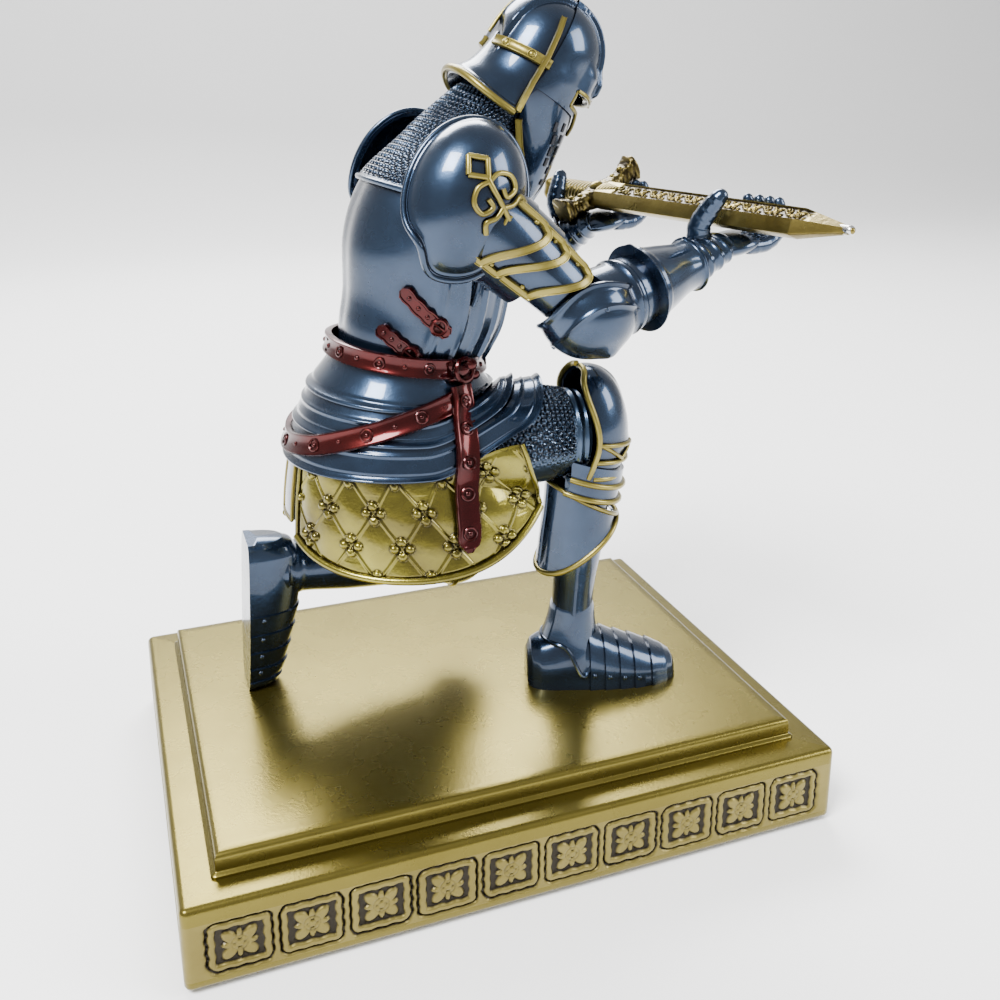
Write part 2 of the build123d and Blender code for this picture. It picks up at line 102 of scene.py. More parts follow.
# ---------------------------------------------------------------- landmarks taken from the CAD
KNEE_R = mid("right_poleyn") + vec(-1.7, 0, -2.2)
KNEE_L = mid("left_poleyn") + vec(-3.5, 0, 0.7)
ANKLE_R = mid("right_greave") + vec(-1.5, 1.4, -24.0)
ANKLE_L = mid("left_sabaton") + vec(6.8, 0.2, 11.5)
ELBOW = {"right": mid("right_couter") + vec(0.3, 0, 0.9), "left": mid("left_couter") + vec(0.1, 0, 1.0)}
SHOULDER = {
    "right": mid("right_pauldron") + vec(-3.3, 2.5, -1.5),
    "left": mid("left_pauldron") + vec(-5.6, -2.6, -1.5)
}
WRIST = {
    "right": mid("right_forearm") + vec(11.5, 3.8, 4.1),
    "left": mid("left_forearm") + vec(10.5, -4.6, 4.6)
}
HIP_R = mid("right_cuisse") + vec(-19.6, 0.4, -0.3)
HIP_L = mid("left_cuisse") + vec(-5.3, -0.4, 15.6)
HIPS = mid("fauld_lame_lower")
CHEST = mid("breastplate") + vec(-6.4, 0, 5.5)
HEAD = mid("helmet_skull") + vec(3.0, 0, -1.3)
STEP_TOP = low_high("plinth_step")[1][2]
SLAB_LOW, SLAB_HIGH = low_high("plinth_slab")
PULL = next(j for j in frame["joints"] if j["name"] == "pommel_pull")
TIPWARD = -unit(PULL["axis"])
SWORD_MID = mid("ink_refill")
UP = vec(0, 0, 1)
AHEAD = unit(np.cross(UP, TIPWARD))


# ---------------------------------------------------------------- meshes
class Pile:
    """Geometry gathered into one piece."""

    def __init__(self):
        self.verts = []
        self.faces = []
        self.relief = []
        self.count = 0

    def add(self, points, faces, relief=None):
        points = np.asarray(points, float).reshape(-1, 3)
        self.verts.append(points)
        self.relief.append(np.zeros(len(points)) if relief is None else np.asarray(relief, float).ravel())
        self.faces.extend(tuple(i + self.count for i in f) for f in faces)
        self.count += len(points)

    def sheet(self, grid, wrap=False, relief=None, keep=None):
        """Quads over a (rows, columns, 3) grid; wrap joins the last column to the first."""
        rows, cols = grid.shape[:2]
        faces = []
        for r in range(rows - 1):
            for c in range(cols if wrap else cols - 1):
                d = (c + 1) % cols
                if keep is None or keep[r, c]:
                    faces.append((r * cols + c, r * cols + d, (r + 1) * cols + d, (r + 1) * cols + c))
        self.add(grid, faces, relief)

    def cap(self, ring):
        """Fan that closes a ring of points."""
        n = len(ring)
        self.add(np.vstack([ring, ring.mean(0)]), [(i, (i + 1) % n, n) for i in range(n)])

    def solid(self, grid, relief=None):
        """Closed tube with both ends capped."""
        self.sheet(grid, True, relief)
        self.cap(grid[0])
        self.cap(grid[-1])

    def shell(self, outer, inner, wrap=False, relief=None):
        """Plate with an outside, an inside and closed edges."""
        self.sheet(outer, wrap, relief)
        self.sheet(inner, wrap)
        for a, b in ((outer[0], inner[0]), (outer[-1], inner[-1])):
            self.sheet(np.stack([a, b]), wrap)
        if not wrap:
            self.sheet(np.stack([outer[:, 0], inner[:, 0]]))
            self.sheet(np.stack([outer[:, -1], inner[:, -1]]))

    def rope(self, path, radius, closed=False, seg=10):
        """Round bar along a path."""
        path = np.asarray(path, float)
        n = len(path)
        radius = np.broadcast_to(np.asarray(radius, float), (n,))
        if closed:
            tangent = unit(np.roll(path, -1, 0) - np.roll(path, 1, 0))
        else:
            tangent = unit(np.gradient(path, axis=0))
        side = np.zeros_like(path)
        ref = unit(np.cross(tangent[0], vec(0.3, 0.5, 0.81)))
        for i in range(n):
            ref = unit(ref - tangent[i] * ref.dot(tangent[i]))
            side[i] = ref
        other = np.cross(tangent, side)
        angle = np.linspace(0, 2 * np.pi, seg, endpoint=False)
        ring = (
            path[:, None]
            + radius[:, None, None] * np.cos(angle)[None, :, None] * side[:, None]
            + radius[:, None, None] * np.sin(angle)[None, :, None] * other[:, None]
        )
        if closed:
            ring = np.concatenate([ring, ring[:1]])
            self.sheet(ring, True)
        else:
            self.solid(ring)

    def strap(self, path, normals, width, thick, rim=0.25):
        """Flat band along a path, lying on the side its normals point away from, with raised edges."""
        path, normals = np.asarray(path, float), np.asarray(normals, float)
        n = len(path)
        width = np.broadcast_to(np.asarray(width, float), (n,))
        tangent = unit(np.gradient(path, axis=0))
        normals = unit(normals - tangent * (normals * tangent).sum(1, keepdims=True))
        across = np.cross(tangent, normals)
        profile = [
            (-0.5, -0.3), (-0.5, 0.75), (-0.44, 1.0 + rim), (-0.36, 1.0 + rim), (-0.3, 1.0), (0.3, 1.0)
        ]
        profile += [(0.36, 1.0 + rim), (0.44, 1.0 + rim), (0.5, 0.75), (0.5, -0.3)]
        ring = np.stack(
            [path + across * (width[:, None] * x) + normals * (thick * y) for x, y in profile], 1
        )
        self.solid(ring)

    def stud(self, point, normal, radius, height=0.7, sink=0.25):
        """Round-headed stud."""
        normal, side, other = across(normal)
        rows = []
        for k in range(5):
            a = k / 5 * math.pi / 2
            r, h = radius * math.cos(a), radius * height * math.sin(a)
            turn = np.linspace(0, 2 * np.pi, 10, endpoint=False)[:, None]
            rows.append(
                point + normal * (h - sink * (k == 0)) + r * (np.cos(turn) * side + np.sin(turn) * other)
            )
        grid = np.stack(rows)
        self.sheet(grid, True)
        self.cap(grid[-1])

    def ring(self, point, normal, radius, thick):
        """Small raised ring."""
        normal, side, other = across(normal)
        turn = np.linspace(0, 2 * np.pi, 14, endpoint=False)[:, None]
        self.rope(
            point + radius * (np.cos(turn) * side + np.sin(turn) * other), thick, closed=True, seg=7
        )

    def ball(self, centre, radii, axes=None, bump=None, rows=18, cols=28):
        """Ellipsoid; axes gives its three directions as rows."""
        axes = np.eye(3) if axes is None else np.asarray(axes)
        lat = np.linspace(-np.pi / 2, np.pi / 2, rows)[:, None]
        lon = np.linspace(0, 2 * np.pi, cols, endpoint=False)[None]
        d = np.stack([np.cos(lat) * np.cos(lon), np.cos(lat) * np.sin(lon), np.sin(lat) + 0 * lon], -1)
        grow = 1.0 if bump is None else bump(d)[..., None]
        self.sheet(centre + (d * np.asarray(radii, float) * grow) @ axes, True)

    def finger(self, joints, radii, lames=True):
        """Round-ended limb through several joints, with plate edges at each."""
        joints = np.asarray(joints, float)
        t = np.linspace(0, len(joints) - 1, 14 * (len(joints) - 1))
        path = catmull(joints, t)
        r = np.interp(t, range(len(radii)), radii)
        if lames:
            r = r * (1 + 0.06 * ((t * 2.0) % 1.0) - 0.02)
        start, end = unit(path[0] - path[1]), unit(path[-1] - path[-2])
        lead = [path[0] + start * r[0] * math.sin(a) for a in (1.35, 1.0, 0.5)]
        lead_r = [r[0] * math.cos(a) for a in (1.35, 1.0, 0.5)]
        tail = [path[-1] + end * r[-1] * math.sin(a) for a in (0.5, 1.0, 1.35)]
        tail_r = [r[-1] * math.cos(a) for a in (0.5, 1.0, 1.35)]
        self.rope(np.vstack([lead, path, tail]), np.concatenate([lead_r, r, tail_r]), seg=14)

    def done(self, name, material, body="figure", nodes=(), sharp=38):
        """Makes the piece with its material, fixes it to its body and hides the CAD nodes it stands for.
        """
        mesh = bpy.data.meshes.new(name)
        verts = np.vstack(self.verts) * MM
        mesh.from_pydata(verts.tolist(), [], self.faces)
        mesh.attributes.new("relief", "FLOAT", "POINT").data.foreach_set(
            "value", np.concatenate(self.relief).astype(np.float32)
        )
        bm = bmesh.new()
        bm.from_mesh(mesh)
        bmesh.ops.remove_doubles(bm, verts=bm.verts, dist=2e-6)
        bmesh.ops.recalc_face_normals(bm, faces=bm.faces)
        bm.to_mesh(mesh)
        bm.free()
        mesh.polygons.foreach_set("use_smooth", [True] * len(mesh.polygons))
        mesh.set_sharp_from_angle(angle=math.radians(sharp))
        mesh.materials.append(material)
        obj = bpy.data.objects.new(name, mesh)
        bpy.context.scene.collection.objects.link(obj)
        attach(obj, body)
        if nodes:
            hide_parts(*nodes)
        return obj


def catmull(rows, t):
    """Smooth curve through rows at parameters t, counted in rows."""
    rows = np.asarray(rows, float)
    n = len(rows)
    i = np.clip(np.floor(t).astype(int), 0, n - 2)
    f = (t - i)[..., None]
    p0, p1 = rows[np.clip(i - 1, 0, n - 1)], rows[i]
    p2, p3 = rows[i + 1], rows[np.clip(i + 2, 0, n - 1)]
    return 0.5 * (
        2 * p1 + (p2 - p0) * f + (2 * p0 - 5 * p1 + 4 * p2 - p3) * f**2
        + (3 * p1 - p0 - 3 * p2 + p3) * f**3
    )


class Loft:
    """Smooth tube through rows of (centre, normal, half forward, half sideways).
    Angle 0 is forward, 90 the left of forward; v runs from the first row, 0, to the last, 1."""

    def __init__(self, rows, forward=(1, 0, 0)):
        self.rows = np.array([[*c, *unit(n), a, b] for c, n, a, b in rows])
        self.forward = vec(*forward)

    def raw(self, deg, v):
        deg, v = np.broadcast_arrays(np.asarray(deg, float), np.asarray(v, float))
        q = catmull(self.rows, np.clip(v, 0, 1) * (len(self.rows) - 1))
        centre, n, a, b = q[..., :3], unit(q[..., 3:6]), q[..., 6:7], q[..., 7:8]
        ex = unit(self.forward - n * (n @ self.forward)[..., None])
        ey = np.cross(n, ex)
        x, y = np.cos(np.radians(deg))[..., None], np.sin(np.radians(deg))[..., None]
        return (
            centre + ex * a * x
            + ey * b * y, unit(ex * x / np.maximum(a, 0.3) + ey * y / np.maximum(b, 0.3))
        )

    def spot(self, deg, v):
        """Point and outward normal."""
        p, n2 = self.raw(deg, v)
        step = 0.004
        along = unit(
            self.raw(deg, np.minimum(v + step, 1))[0] - self.raw(deg, np.maximum(v - step, 0))[0]
        )
        return p, unit(n2 - along * (n2 * along).sum(-1, keepdims=True))

    def at(self, deg, v, out=0.0):
        p, n = self.spot(deg, v)
        return p + n * np.asarray(out, float)[..., None]


def limb(start, end, table, forward=(1, 0, 0)):
    """Loft along a straight line, through rows of (share of the way, half forward, half side)."""
    axis = unit(end - start)
    return Loft([(start + (end - start) * t, axis, a, b) for t, a, b in table], forward)


def around(nu, v0, v1, nv):
    """Angles all round, without the repeated last one, against v."""
    return np.meshgrid(np.linspace(0, 360, nu)[:-1], np.linspace(v0, v1, nv))


def grid(u0, u1, nu, v0, v1, nv):
    """Angles against v."""
    return np.meshgrid(np.linspace(u0, u1, nu), np.linspace(v0, v1, nv))


def mail(x, y, pitch=1.35):
    """Height of linked-ring mail, 0 to 1, over a flat chart in millimetres."""
    row = np.floor(y / pitch)
    lx = ((x / (pitch * 1.25) + 0.5 * (row % 2)) % 1.0) - 0.5
    ly = (y / pitch) % 1.0 - 0.5
    r = np.hypot(lx * 1.1, ly * 0.9)
    return bell(r - 0.29, 0.13)


# ---------------------------------------------------------------- materials
def new_material(name):
    """Material, its nodes, its links and its shader."""
    m = bpy.data.materials.new(name)
    m.use_nodes = True
    return m, m.node_tree.nodes, m.node_tree.links, m.node_tree.nodes["Principled BSDF"]


def ramp(nodes, links, source, stops):
    """Colour ramp through (position, colour) stops."""
    r = nodes.new("ShaderNodeValToRGB")
    r.color_ramp.elements[0].position = stops[0][0]
    r.color_ramp.elements[0].color = (*stops[0][1], 1)
    r.color_ramp.elements[1].position = stops[-1][0]
    r.color_ramp.elements[1].color = (*stops[-1][1], 1)
    for position, colour in stops[1:-1]:
        r.color_ramp.elements.new(position).color = (*colour, 1)
    links.new(source, r.inputs["Fac"])
    return r.outputs["Color"]


def noise(nodes, links, coords, scale, detail=3.0, rough=0.55):
    n = nodes.new("ShaderNodeTexNoise")
    n.inputs["Scale"].default_value = scale
    n.inputs["Detail"].default_value = detail
    n.inputs["Roughness"].default_value = rough
    links.new(coords, n.inputs["Vector"])
    return n.outputs["Fac"]


def map_range(nodes, links, source, before, after=(0.0, 1.0)):
    r = nodes.new("ShaderNodeMapRange")
    r.inputs["From Min"].default_value, r.inputs["From Max"].default_value = before
    r.inputs["To Min"].default_value, r.inputs["To Max"].default_value = after
    links.new(source, r.inputs["Value"])
    return r.outputs["Result"]


def finish_paint(
    name, tones, shade_and_patina_tone, rough=(0.25, 0.4), metallic=0.85, coat=0.5, coat_rough=0.08, occlusion=2.2,
    bump=0.06, grain=900, patina=0.0, shade_span=(0.35, 0.85), specular=0.5
):
    """Metallic paint: blotchy base tones, painted shade from ambient occlusion darkening the recesses
    (with patina in the cut hollows where patina is set), and fine unevenness.
    """
    m, nodes, links, shader = new_material(name)
    coords = nodes.new("ShaderNodeTexCoord").outputs["Object"]
    broad = noise(nodes, links, coords, 55, 4)
    base = ramp(nodes, links, broad, [(0.32, tones[0]), (0.5, tones[1]), (0.7, tones[2])])
    # Painted shade: ambient occlusion pulls the dark tone into recesses and creases where shade falls.
    hollow = nodes.new("ShaderNodeAmbientOcclusion")
    hollow.samples = 6
    hollow.inputs["Distance"].default_value = occlusion * MM
    share = map_range(nodes, links, hollow.outputs["AO"], shade_span)
    if patina:
        cut = nodes.new("ShaderNodeAttribute")
        cut.attribute_name = "relief"
        spread = nodes.new("ShaderNodeMath")
        spread.operation = "MULTIPLY_ADD"
        links.new(noise(nodes, links, coords, 420, 2), spread.inputs[0])
        spread.inputs[1].default_value = -0.5
        links.new(cut.outputs["Fac"], spread.inputs[2])
        depth = map_range(nodes, links, spread.outputs[0], (0.05, 0.55), (1.0, 1.0 - patina))
        both = nodes.new("ShaderNodeMath")
        both.operation = "MULTIPLY"
        links.new(share, both.inputs[0])
        links.new(depth, both.inputs[1])
        share = both.outputs[0]
    # Factor 0 gives the dark tone (painted shade, and patina in cut hollows where patina is set), 1 the
    # base tones.
    blend = nodes.new("ShaderNodeMix")
    blend.data_type = "RGBA"
    blend.inputs[6].default_value = (*shade_and_patina_tone, 1)
    links.new(base, blend.inputs[7])
    links.new(share, blend.inputs[0])
    links.new(blend.outputs[2], shader.inputs["Base Color"])
    smear = noise(nodes, links, coords, 130, 3)
    links.new(map_range(nodes, links, smear, (0.3, 0.7), rough), shader.inputs["Roughness"])
    skin = nodes.new("ShaderNodeBump")
    skin.inputs["Strength"].default_value = bump
    skin.inputs["Distance"].default_value = 0.0004
    links.new(noise(nodes, links, coords, grain, 2), skin.inputs["Height"])
    links.new(skin.outputs["Normal"], shader.inputs["Normal"])
    shader.inputs["Metallic"].default_value = metallic
    shader.inputs["Coat Weight"].default_value = coat
    shader.inputs["Coat Roughness"].default_value = coat_rough
    shader.inputs["Specular IOR Level"].default_value = specular
    return m


# Each finish's second colour is its dark painted-shade tone, which also serves as patina in cut hollows
# where patina is set.
BLUE = finish_paint(
    "steel_blue_lacquer", [(0.0129, 0.0256, 0.0522), (0.0182, 0.0352, 0.0684), (0.0258, 0.0464, 0.0855)],
    (0.002, 0.004, 0.012), rough=(0.2, 0.32), metallic=0.9, coat=0.6, coat_rough=0.05,
    shade_span=(0.3, 0.95)
)
MAIL = finish_paint(
    "steel_blue_mail", [(0.0216, 0.0397, 0.0739), (0.0312, 0.0558, 0.099), (0.045, 0.0756, 0.1254)],
    (0.002, 0.004, 0.010), rough=(0.22, 0.34), metallic=0.9, coat=0.4, patina=0.85, occlusion=1.4
)
TRIM = finish_paint(
    "olive_gold_trim", [(0.144, 0.1152, 0.0204), (0.2088, 0.1692, 0.033), (0.288, 0.2412, 0.054)],
    (0.025, 0.018, 0.006), rough=(0.28, 0.42), metallic=0.8, coat=0.25, occlusion=1.6, bump=0.12,
    shade_span=(0.3, 0.9)
)
GILT = finish_paint(
    "quilted_gilt", [(0.0884, 0.0702, 0.007), (0.1716, 0.1458, 0.016), (0.2444, 0.216, 0.03)],
    (0.030, 0.022, 0.005), rough=(0.18, 0.32), metallic=0.9, coat=0.5, occlusion=2.4, bump=0.14,
    patina=0.6, shade_span=(0.35, 0.95)
)
MAROON = finish_paint(
    "maroon_enamel", [(0.025, 0.0015, 0.0018), (0.0425, 0.0027, 0.003), (0.065, 0.0054, 0.0048)],
    (0.006, 0.001, 0.001), rough=(0.18, 0.3), metallic=0.85, coat=0.3, coat_rough=0.06, occlusion=1.8,
    specular=0.35
)
PLINTH = finish_paint(
    "satin_plinth_gold", [(0.1333, 0.1066, 0.0189), (0.1426, 0.1147, 0.0212), (0.1519, 0.1228, 0.0234)],
    (0.06, 0.042, 0.01), rough=(0.265, 0.285), metallic=0.92, coat=0.1, coat_rough=0.25, occlusion=1.2,
    bump=0.08, grain=1500, shade_span=(0.2, 0.6)
)
FRIEZE = finish_paint(
    "frieze_gold", [(0.15, 0.1185, 0.027), (0.1725, 0.1387, 0.0336), (0.1988, 0.1613, 0.042)],
    (0.010, 0.007, 0.004), rough=(0.34, 0.46), metallic=0.75, coat=0.05, occlusion=0.9, bump=0.15,
    patina=0.97
)
BRASS = finish_paint(
    "antique_brass", [(0.144, 0.108, 0.026), (0.1944, 0.1498, 0.0384), (0.2592, 0.2052, 0.0589)],
    (0.014, 0.009, 0.004), rough=(0.26, 0.38), metallic=0.95, coat=0.1, occlusion=1.4, bump=0.2,
    patina=0.9, shade_span=(0.3, 0.9)
)
# Near-black finish that paints shade into the helmet's eye slit and breathing slots.
SHADE_FILL = finish_paint(
    "painted_shade_hollow", [(0.006, 0.007, 0.012), (0.008, 0.009, 0.015), (0.011, 0.012, 0.02)],
    (0.002, 0.002, 0.004), rough=(0.5, 0.7), metallic=0.2, coat=0.0
)
FELT = finish_paint(
    "black_felt", [(0.012, 0.012, 0.012), (0.02, 0.02, 0.02), (0.03, 0.03, 0.03)], (0.004, 0.004, 0.004),
    rough=(0.85, 1.0), metallic=0.0, coat=0.0, bump=0.6, grain=2500, specular=0.2
)
STEEL = finish_paint(
    "refill_steel", [(0.5, 0.5, 0.5), (0.6, 0.6, 0.6), (0.7, 0.7, 0.7)], (0.1, 0.1, 0.1),
    rough=(0.2, 0.3), metallic=1.0
)


# ---------------------------------------------------------------- plinth
TILE_PITCH = 14.7
TILE_MID_Z = 9.6
TILES = {"long": 10, "short": 7}
SLAB_CORNER = 1.6
SLAB_COUNTS = (500, 370)
# Moulding of the step: inset and height over its foot.
STEP_PROFILE = [
    (0.0, -0.02), (0.0, 0.55), (0.25, 0.8), (0.75, 0.9), (0.95, 1.1), (0.98, 3.7), (1.1, 4.35),
    (1.45, 4.8), (2.1, 5.0), (4.0, 5.0), (30.0, 5.0)
]


def round_box(x, y, half_x, half_y, r):
    """Signed distance to a rectangle with round corners."""
    qx, qy = np.abs(x) - half_x + r, np.abs(y) - half_y + r
    return np.hypot(np.maximum(qx, 0), np.maximum(qy, 0)) + np.minimum(np.maximum(qx, qy), 0) - r


def tile_depth(t, z, count):
    """How deep the frieze is cut at distance t along a side and height z, in millimetres."""
    y = z - TILE_MID_Z
    index = np.clip(np.floor(t / TILE_PITCH + count / 2), 0, count - 1)
    x = t - (index - (count - 1) / 2) * TILE_PITCH
    wobble = 0.12 * np.sin(3.1 * index + 2.2 * y) + 0.10 * np.sin(1.7 * index + 1.9 * x)
    d = round_box(x, y, 6.45, 5.7, 1.7) + wobble
    outline = 0.8 * bell(d - 0.15, 0.34)
    field = smooth(-1.25, -1.75, d)
    motif = np.zeros_like(d)
    for sx in (-1, 1):
        for sy in (-1, 1):
            px, py = x - sx * 1.75, y - sy * 1.55
            a, b = (px * sx + py * sy) / 1.414, (px * sy - py * sx) / 1.414
            motif = np.maximum(motif, smooth(1.25, 0.75, np.hypot((a - 0.25) / 1.95, b / 1.2)))
        motif = np.maximum(motif, smooth(1.2, 0.7, np.hypot((x - sx * 2.4) / 1.3, y / 0.62)))
        motif = np.maximum(motif, smooth(1.2, 0.7, np.hypot(x / 0.62, (y - sx * 2.15) / 1.25)))
    motif = np.maximum(motif, smooth(1.2, 0.7, np.hypot(x, y) / 0.9))
    motif = motif * (0.9 - 0.35 * bell(np.hypot(x, y) - 1.7, 0.3))
    return outline + field * 0.75 * (1 - motif)


def perimeter(half_x, half_y, radius, long_count, short_count):
    """Points, outward normals, distance along the side and side kind round a rounded rectangle."""
    points, normals, along, kind = [], [], [], []
    for cx, cy in ((1, -1), (1, 1), (-1, 1), (-1, -1)):
        short = cx * cy < 0
        nx, ny = (cx, 0) if short else (0, cy)
        dx, dy = -ny, nx
        half, out = (half_y, half_x) if short else (half_x, half_y)
        reach = half - radius
        for t in np.linspace(-reach, reach, short_count if short else long_count):
            points.append((dx * t + nx * out, dy * t + ny * out))
            normals.append((nx, ny))
            along.append(t)
            kind.append(not short)
        for a in np.linspace(0, math.pi / 2, 6)[1:-1]:
            ex, ey = nx * math.cos(a) + dx * math.sin(a), ny * math.cos(a) + dy * math.sin(a)
            points.append(
                (
                    dx * reach + nx * (out - radius) + ex * radius,
                    dy * reach + ny * (out - radius) + ey * radius
                )
            )
            normals.append((ex, ey))
            along.append(half + 50)
            kind.append(not short)
    return np.array(points), np.array(normals), np.array(along), np.array(kind)


def ring_rows(half_x, half_y, radius, counts, profile):
    """Stacks the perimeter at each (inset, z) of the profile."""
    rows = []
    for inset, z in profile:
        points = perimeter(half_x - inset, half_y - inset, max(radius - inset, 0.05), *counts)[0]
        rows.append(np.column_stack([points, np.full(len(points), z)]))
    return np.stack(rows)


def build_plinth():
    """Slab, frieze band and step."""
    half_x, half_y = SLAB_HIGH[0], SLAB_HIGH[1]
    z0, z1 = SLAB_LOW[2], SLAB_HIGH[2]
    points, normals, along, kind = perimeter(half_x, half_y, SLAB_CORNER, *SLAB_COUNTS)
    low_z, high_z = TILE_MID_Z - 6.6, TILE_MID_Z + 6.6
    slab = Pile()
    slab.sheet(
        ring_rows(
            half_x, half_y, SLAB_CORNER, SLAB_COUNTS,
            [(4, z0), (0.8, z0), (0.25, z0 + 0.25), (0, z0 + 0.8), (0, low_z)]
        ),
        True
    )
    top = [
        (0, high_z), (0, z1 - 1.5), (0.1, z1 - 0.95), (0.4, z1 - 0.42), (0.85, z1 - 0.1), (1.5, z1),
        (9.5, z1)
    ]
    slab.sheet(ring_rows(half_x, half_y, SLAB_CORNER, SLAB_COUNTS, top), True)
    slab.done("plinth_slab_body", PLINTH, nodes=["plinth_slab"], sharp=50)

    heights = np.linspace(low_z, high_z, 52)
    rows, cuts = [], []
    for z in heights:
        depth = np.where(kind, tile_depth(along, z, TILES["long"]), tile_depth(along, z, TILES["short"]))
        depth = np.where(
            np.abs(along) > np.where(kind, TILES["long"], TILES["short"]) * TILE_PITCH / 2 + 0.9, 0, depth
        )
        depth = depth * smooth(0, 0.6, z - low_z) * smooth(0, 0.6, high_z - z)
        rows.append(np.column_stack([points - normals * depth[:, None], np.full(len(points), z)]))
        cuts.append(depth / 0.8)
    band = Pile()
    band.sheet(np.stack(rows), True, relief=np.stack(cuts))
    band.done("frieze_band", FRIEZE, nodes=["frieze_tiles"], sharp=60)

    low, high = low_high("plinth_step")
    step = Pile()
    b = low[2]
    rows = ring_rows(high[0], high[1], 1.2, (30, 22), [(inset, b + rise) for inset, rise in STEP_PROFILE])
    step.sheet(rows, True)
    step.cap(rows[-1])
    step.done("plinth_step_body", PLINTH, nodes=["plinth_step"], sharp=40)


# ---------------------------------------------------------------- shoes
def shoe(name, node, heel, toe, up, sizes, ridges, material):
    """Armoured shoe from heel to toe; its sole lies on the heel-toe line."""
    axis = unit(toe - heel)
    up = unit(up - axis * axis.dot(up))
    side = np.cross(up, axis)
    length = np.linalg.norm(toe - heel)
    t = np.linspace(0, 1, 150)
    ts = [row[0] for row in sizes]
    width = catmull_table(ts, [row[1] for row in sizes], t)
    height = catmull_table(ts, [row[2] for row in sizes], t)
    step = np.zeros_like(t)
    for k, r in enumerate(ridges):
        nxt = ridges[k + 1] if k + 1 < len(ridges) else 1.02
        inside = (t >= r) & (t < nxt)
        step += np.where(inside, 0.55 * (1 - (t - r) / (nxt - r)), 0)
    turn = np.linspace(0, 2 * np.pi, 72, endpoint=False)
    c, s = np.cos(turn), np.sin(turn)
    x = np.sign(c) * np.abs(c) ** 0.72
    y = np.where(s > 0, np.abs(s) ** 0.8, 0.0)
    lift = smooth(0.0, 0.25, y)
    rows = []
    for i in range(len(t)):
        centre = heel + axis * length * t[i]
        w, h = width[i] / 2 + step[i] * 0.8, height[i] + step[i]
        ledge = np.where(y * h < 1.3, 0.35, 0.0)
        px = x * (w + ledge - 0.25 * lift * (y**2) * w * 0.25)
        rows.append(centre + side * px[:, None] + up * (y * h)[:, None])
    pile = Pile()
    pile.solid(np.stack(rows))
    for sgn in (-1, 1):
        for r in ridges[:-1]:
            i = int((r + 0.03) * len(t))
            pile.stud(
                heel + axis * length * t[i] + side * sgn * (width[i] / 2 + 0.25) + up * height[i] * 0.28,
                side * sgn, 0.6
            )
    return pile.done(name, material, nodes=[node], sharp=55)


def catmull_table(xs, ys, x):
    """Smooth interpolation of a table."""
    index = np.interp(x, xs, range(len(xs)))
    return catmull(np.array(ys, float)[:, None], index)[..., 0]


# Rows of a shoe: share of the way from heel to toe, width, height.
RIGHT_SHOE_ROWS = [
    (0, 8.0, 8.6), (0.025, 11.0, 10.6), (0.08, 13.6, 11.8), (0.16, 14.8, 13.0), (0.27, 15.4, 14.6),
    (0.36, 15.9, 14.8), (0.46, 16.3, 13.2), (0.57, 16.6, 11.6), (0.7, 16.2, 9.9), (0.83, 14.6, 8.2),
    (0.93, 11.6, 6.6), (0.98, 8.6, 5.4), (1.0, 5.8, 4.0)
]
LEFT_SHOE_ROWS = [
    (0, 9.0, 9.0), (0.03, 11.5, 11.6), (0.1, 13.2, 13.4), (0.26, 14.2, 14.0), (0.4, 14.6, 13.4),
    (0.56, 14.6, 12.2), (0.72, 14.0, 10.8), (0.88, 12.4, 9.4), (0.97, 10.4, 7.8), (1.0, 8.0, 6.0)
]


def build_feet():
    """Planted right shoe and kneeling left shoe, whose sole faces back."""
    low, high = low_high("right_sabaton")
    heel = vec(low[0] + 0.9, low[1] + 15.1, STEP_TOP)
    toe = vec(high[0] - 0.8, low[1] + 5.2, STEP_TOP)
    shoe("right_shoe", "right_sabaton", heel, toe, UP, RIGHT_SHOE_ROWS, [0.4, 0.5, 0.6, 0.7, 0.82], BLUE)
    low, high = low_high("left_sabaton")
    toe = vec(low[0] + 1.0, low[1] + 7.6, low[2])
    heel = vec(low[0] + 2.7, low[1] + 6.4, high[2])
    shoe(
        "left_shoe", "left_sabaton", heel, toe, vec(1, 0, 0), LEFT_SHOE_ROWS,
        [0.45, 0.58, 0.7, 0.82, 0.92], BLUE
    )


# ---------------------------------------------------------------- legs
# Rows of the shin and calf: share of the way, half forward, half side.
SHIN_ROWS = [
    (-0.04, 6.6, 6.6), (0.04, 5.7, 5.7), (0.16, 5.3, 5.3), (0.3, 5.6, 5.6), (0.45, 6.6, 6.5),
    (0.6, 7.3, 7.0), (0.75, 7.0, 6.8), (0.88, 6.6, 6.6)
]
CALF_ROWS = [(0.66, 9.4, 8.8), (0.5, 9.2, 8.8), (0.34, 8.6, 8.6), (0.2, 8.6, 9.0), (0.06, 9.4, 9.8)]
# Rows of the ankle guard: place from the ankle, half forward, half side.
GAITER_ROWS = [
    (0.6, 0, 11, 5.2, 5.2), (0.2, 0, 5, 6.0, 5.9), (-0.2, 0, 0, 7.2, 6.8), (-0.4, -0.2, -4, 8.6, 7.7),
    (-0.4, -0.4, -9.5, 9.4, 8.7)
]
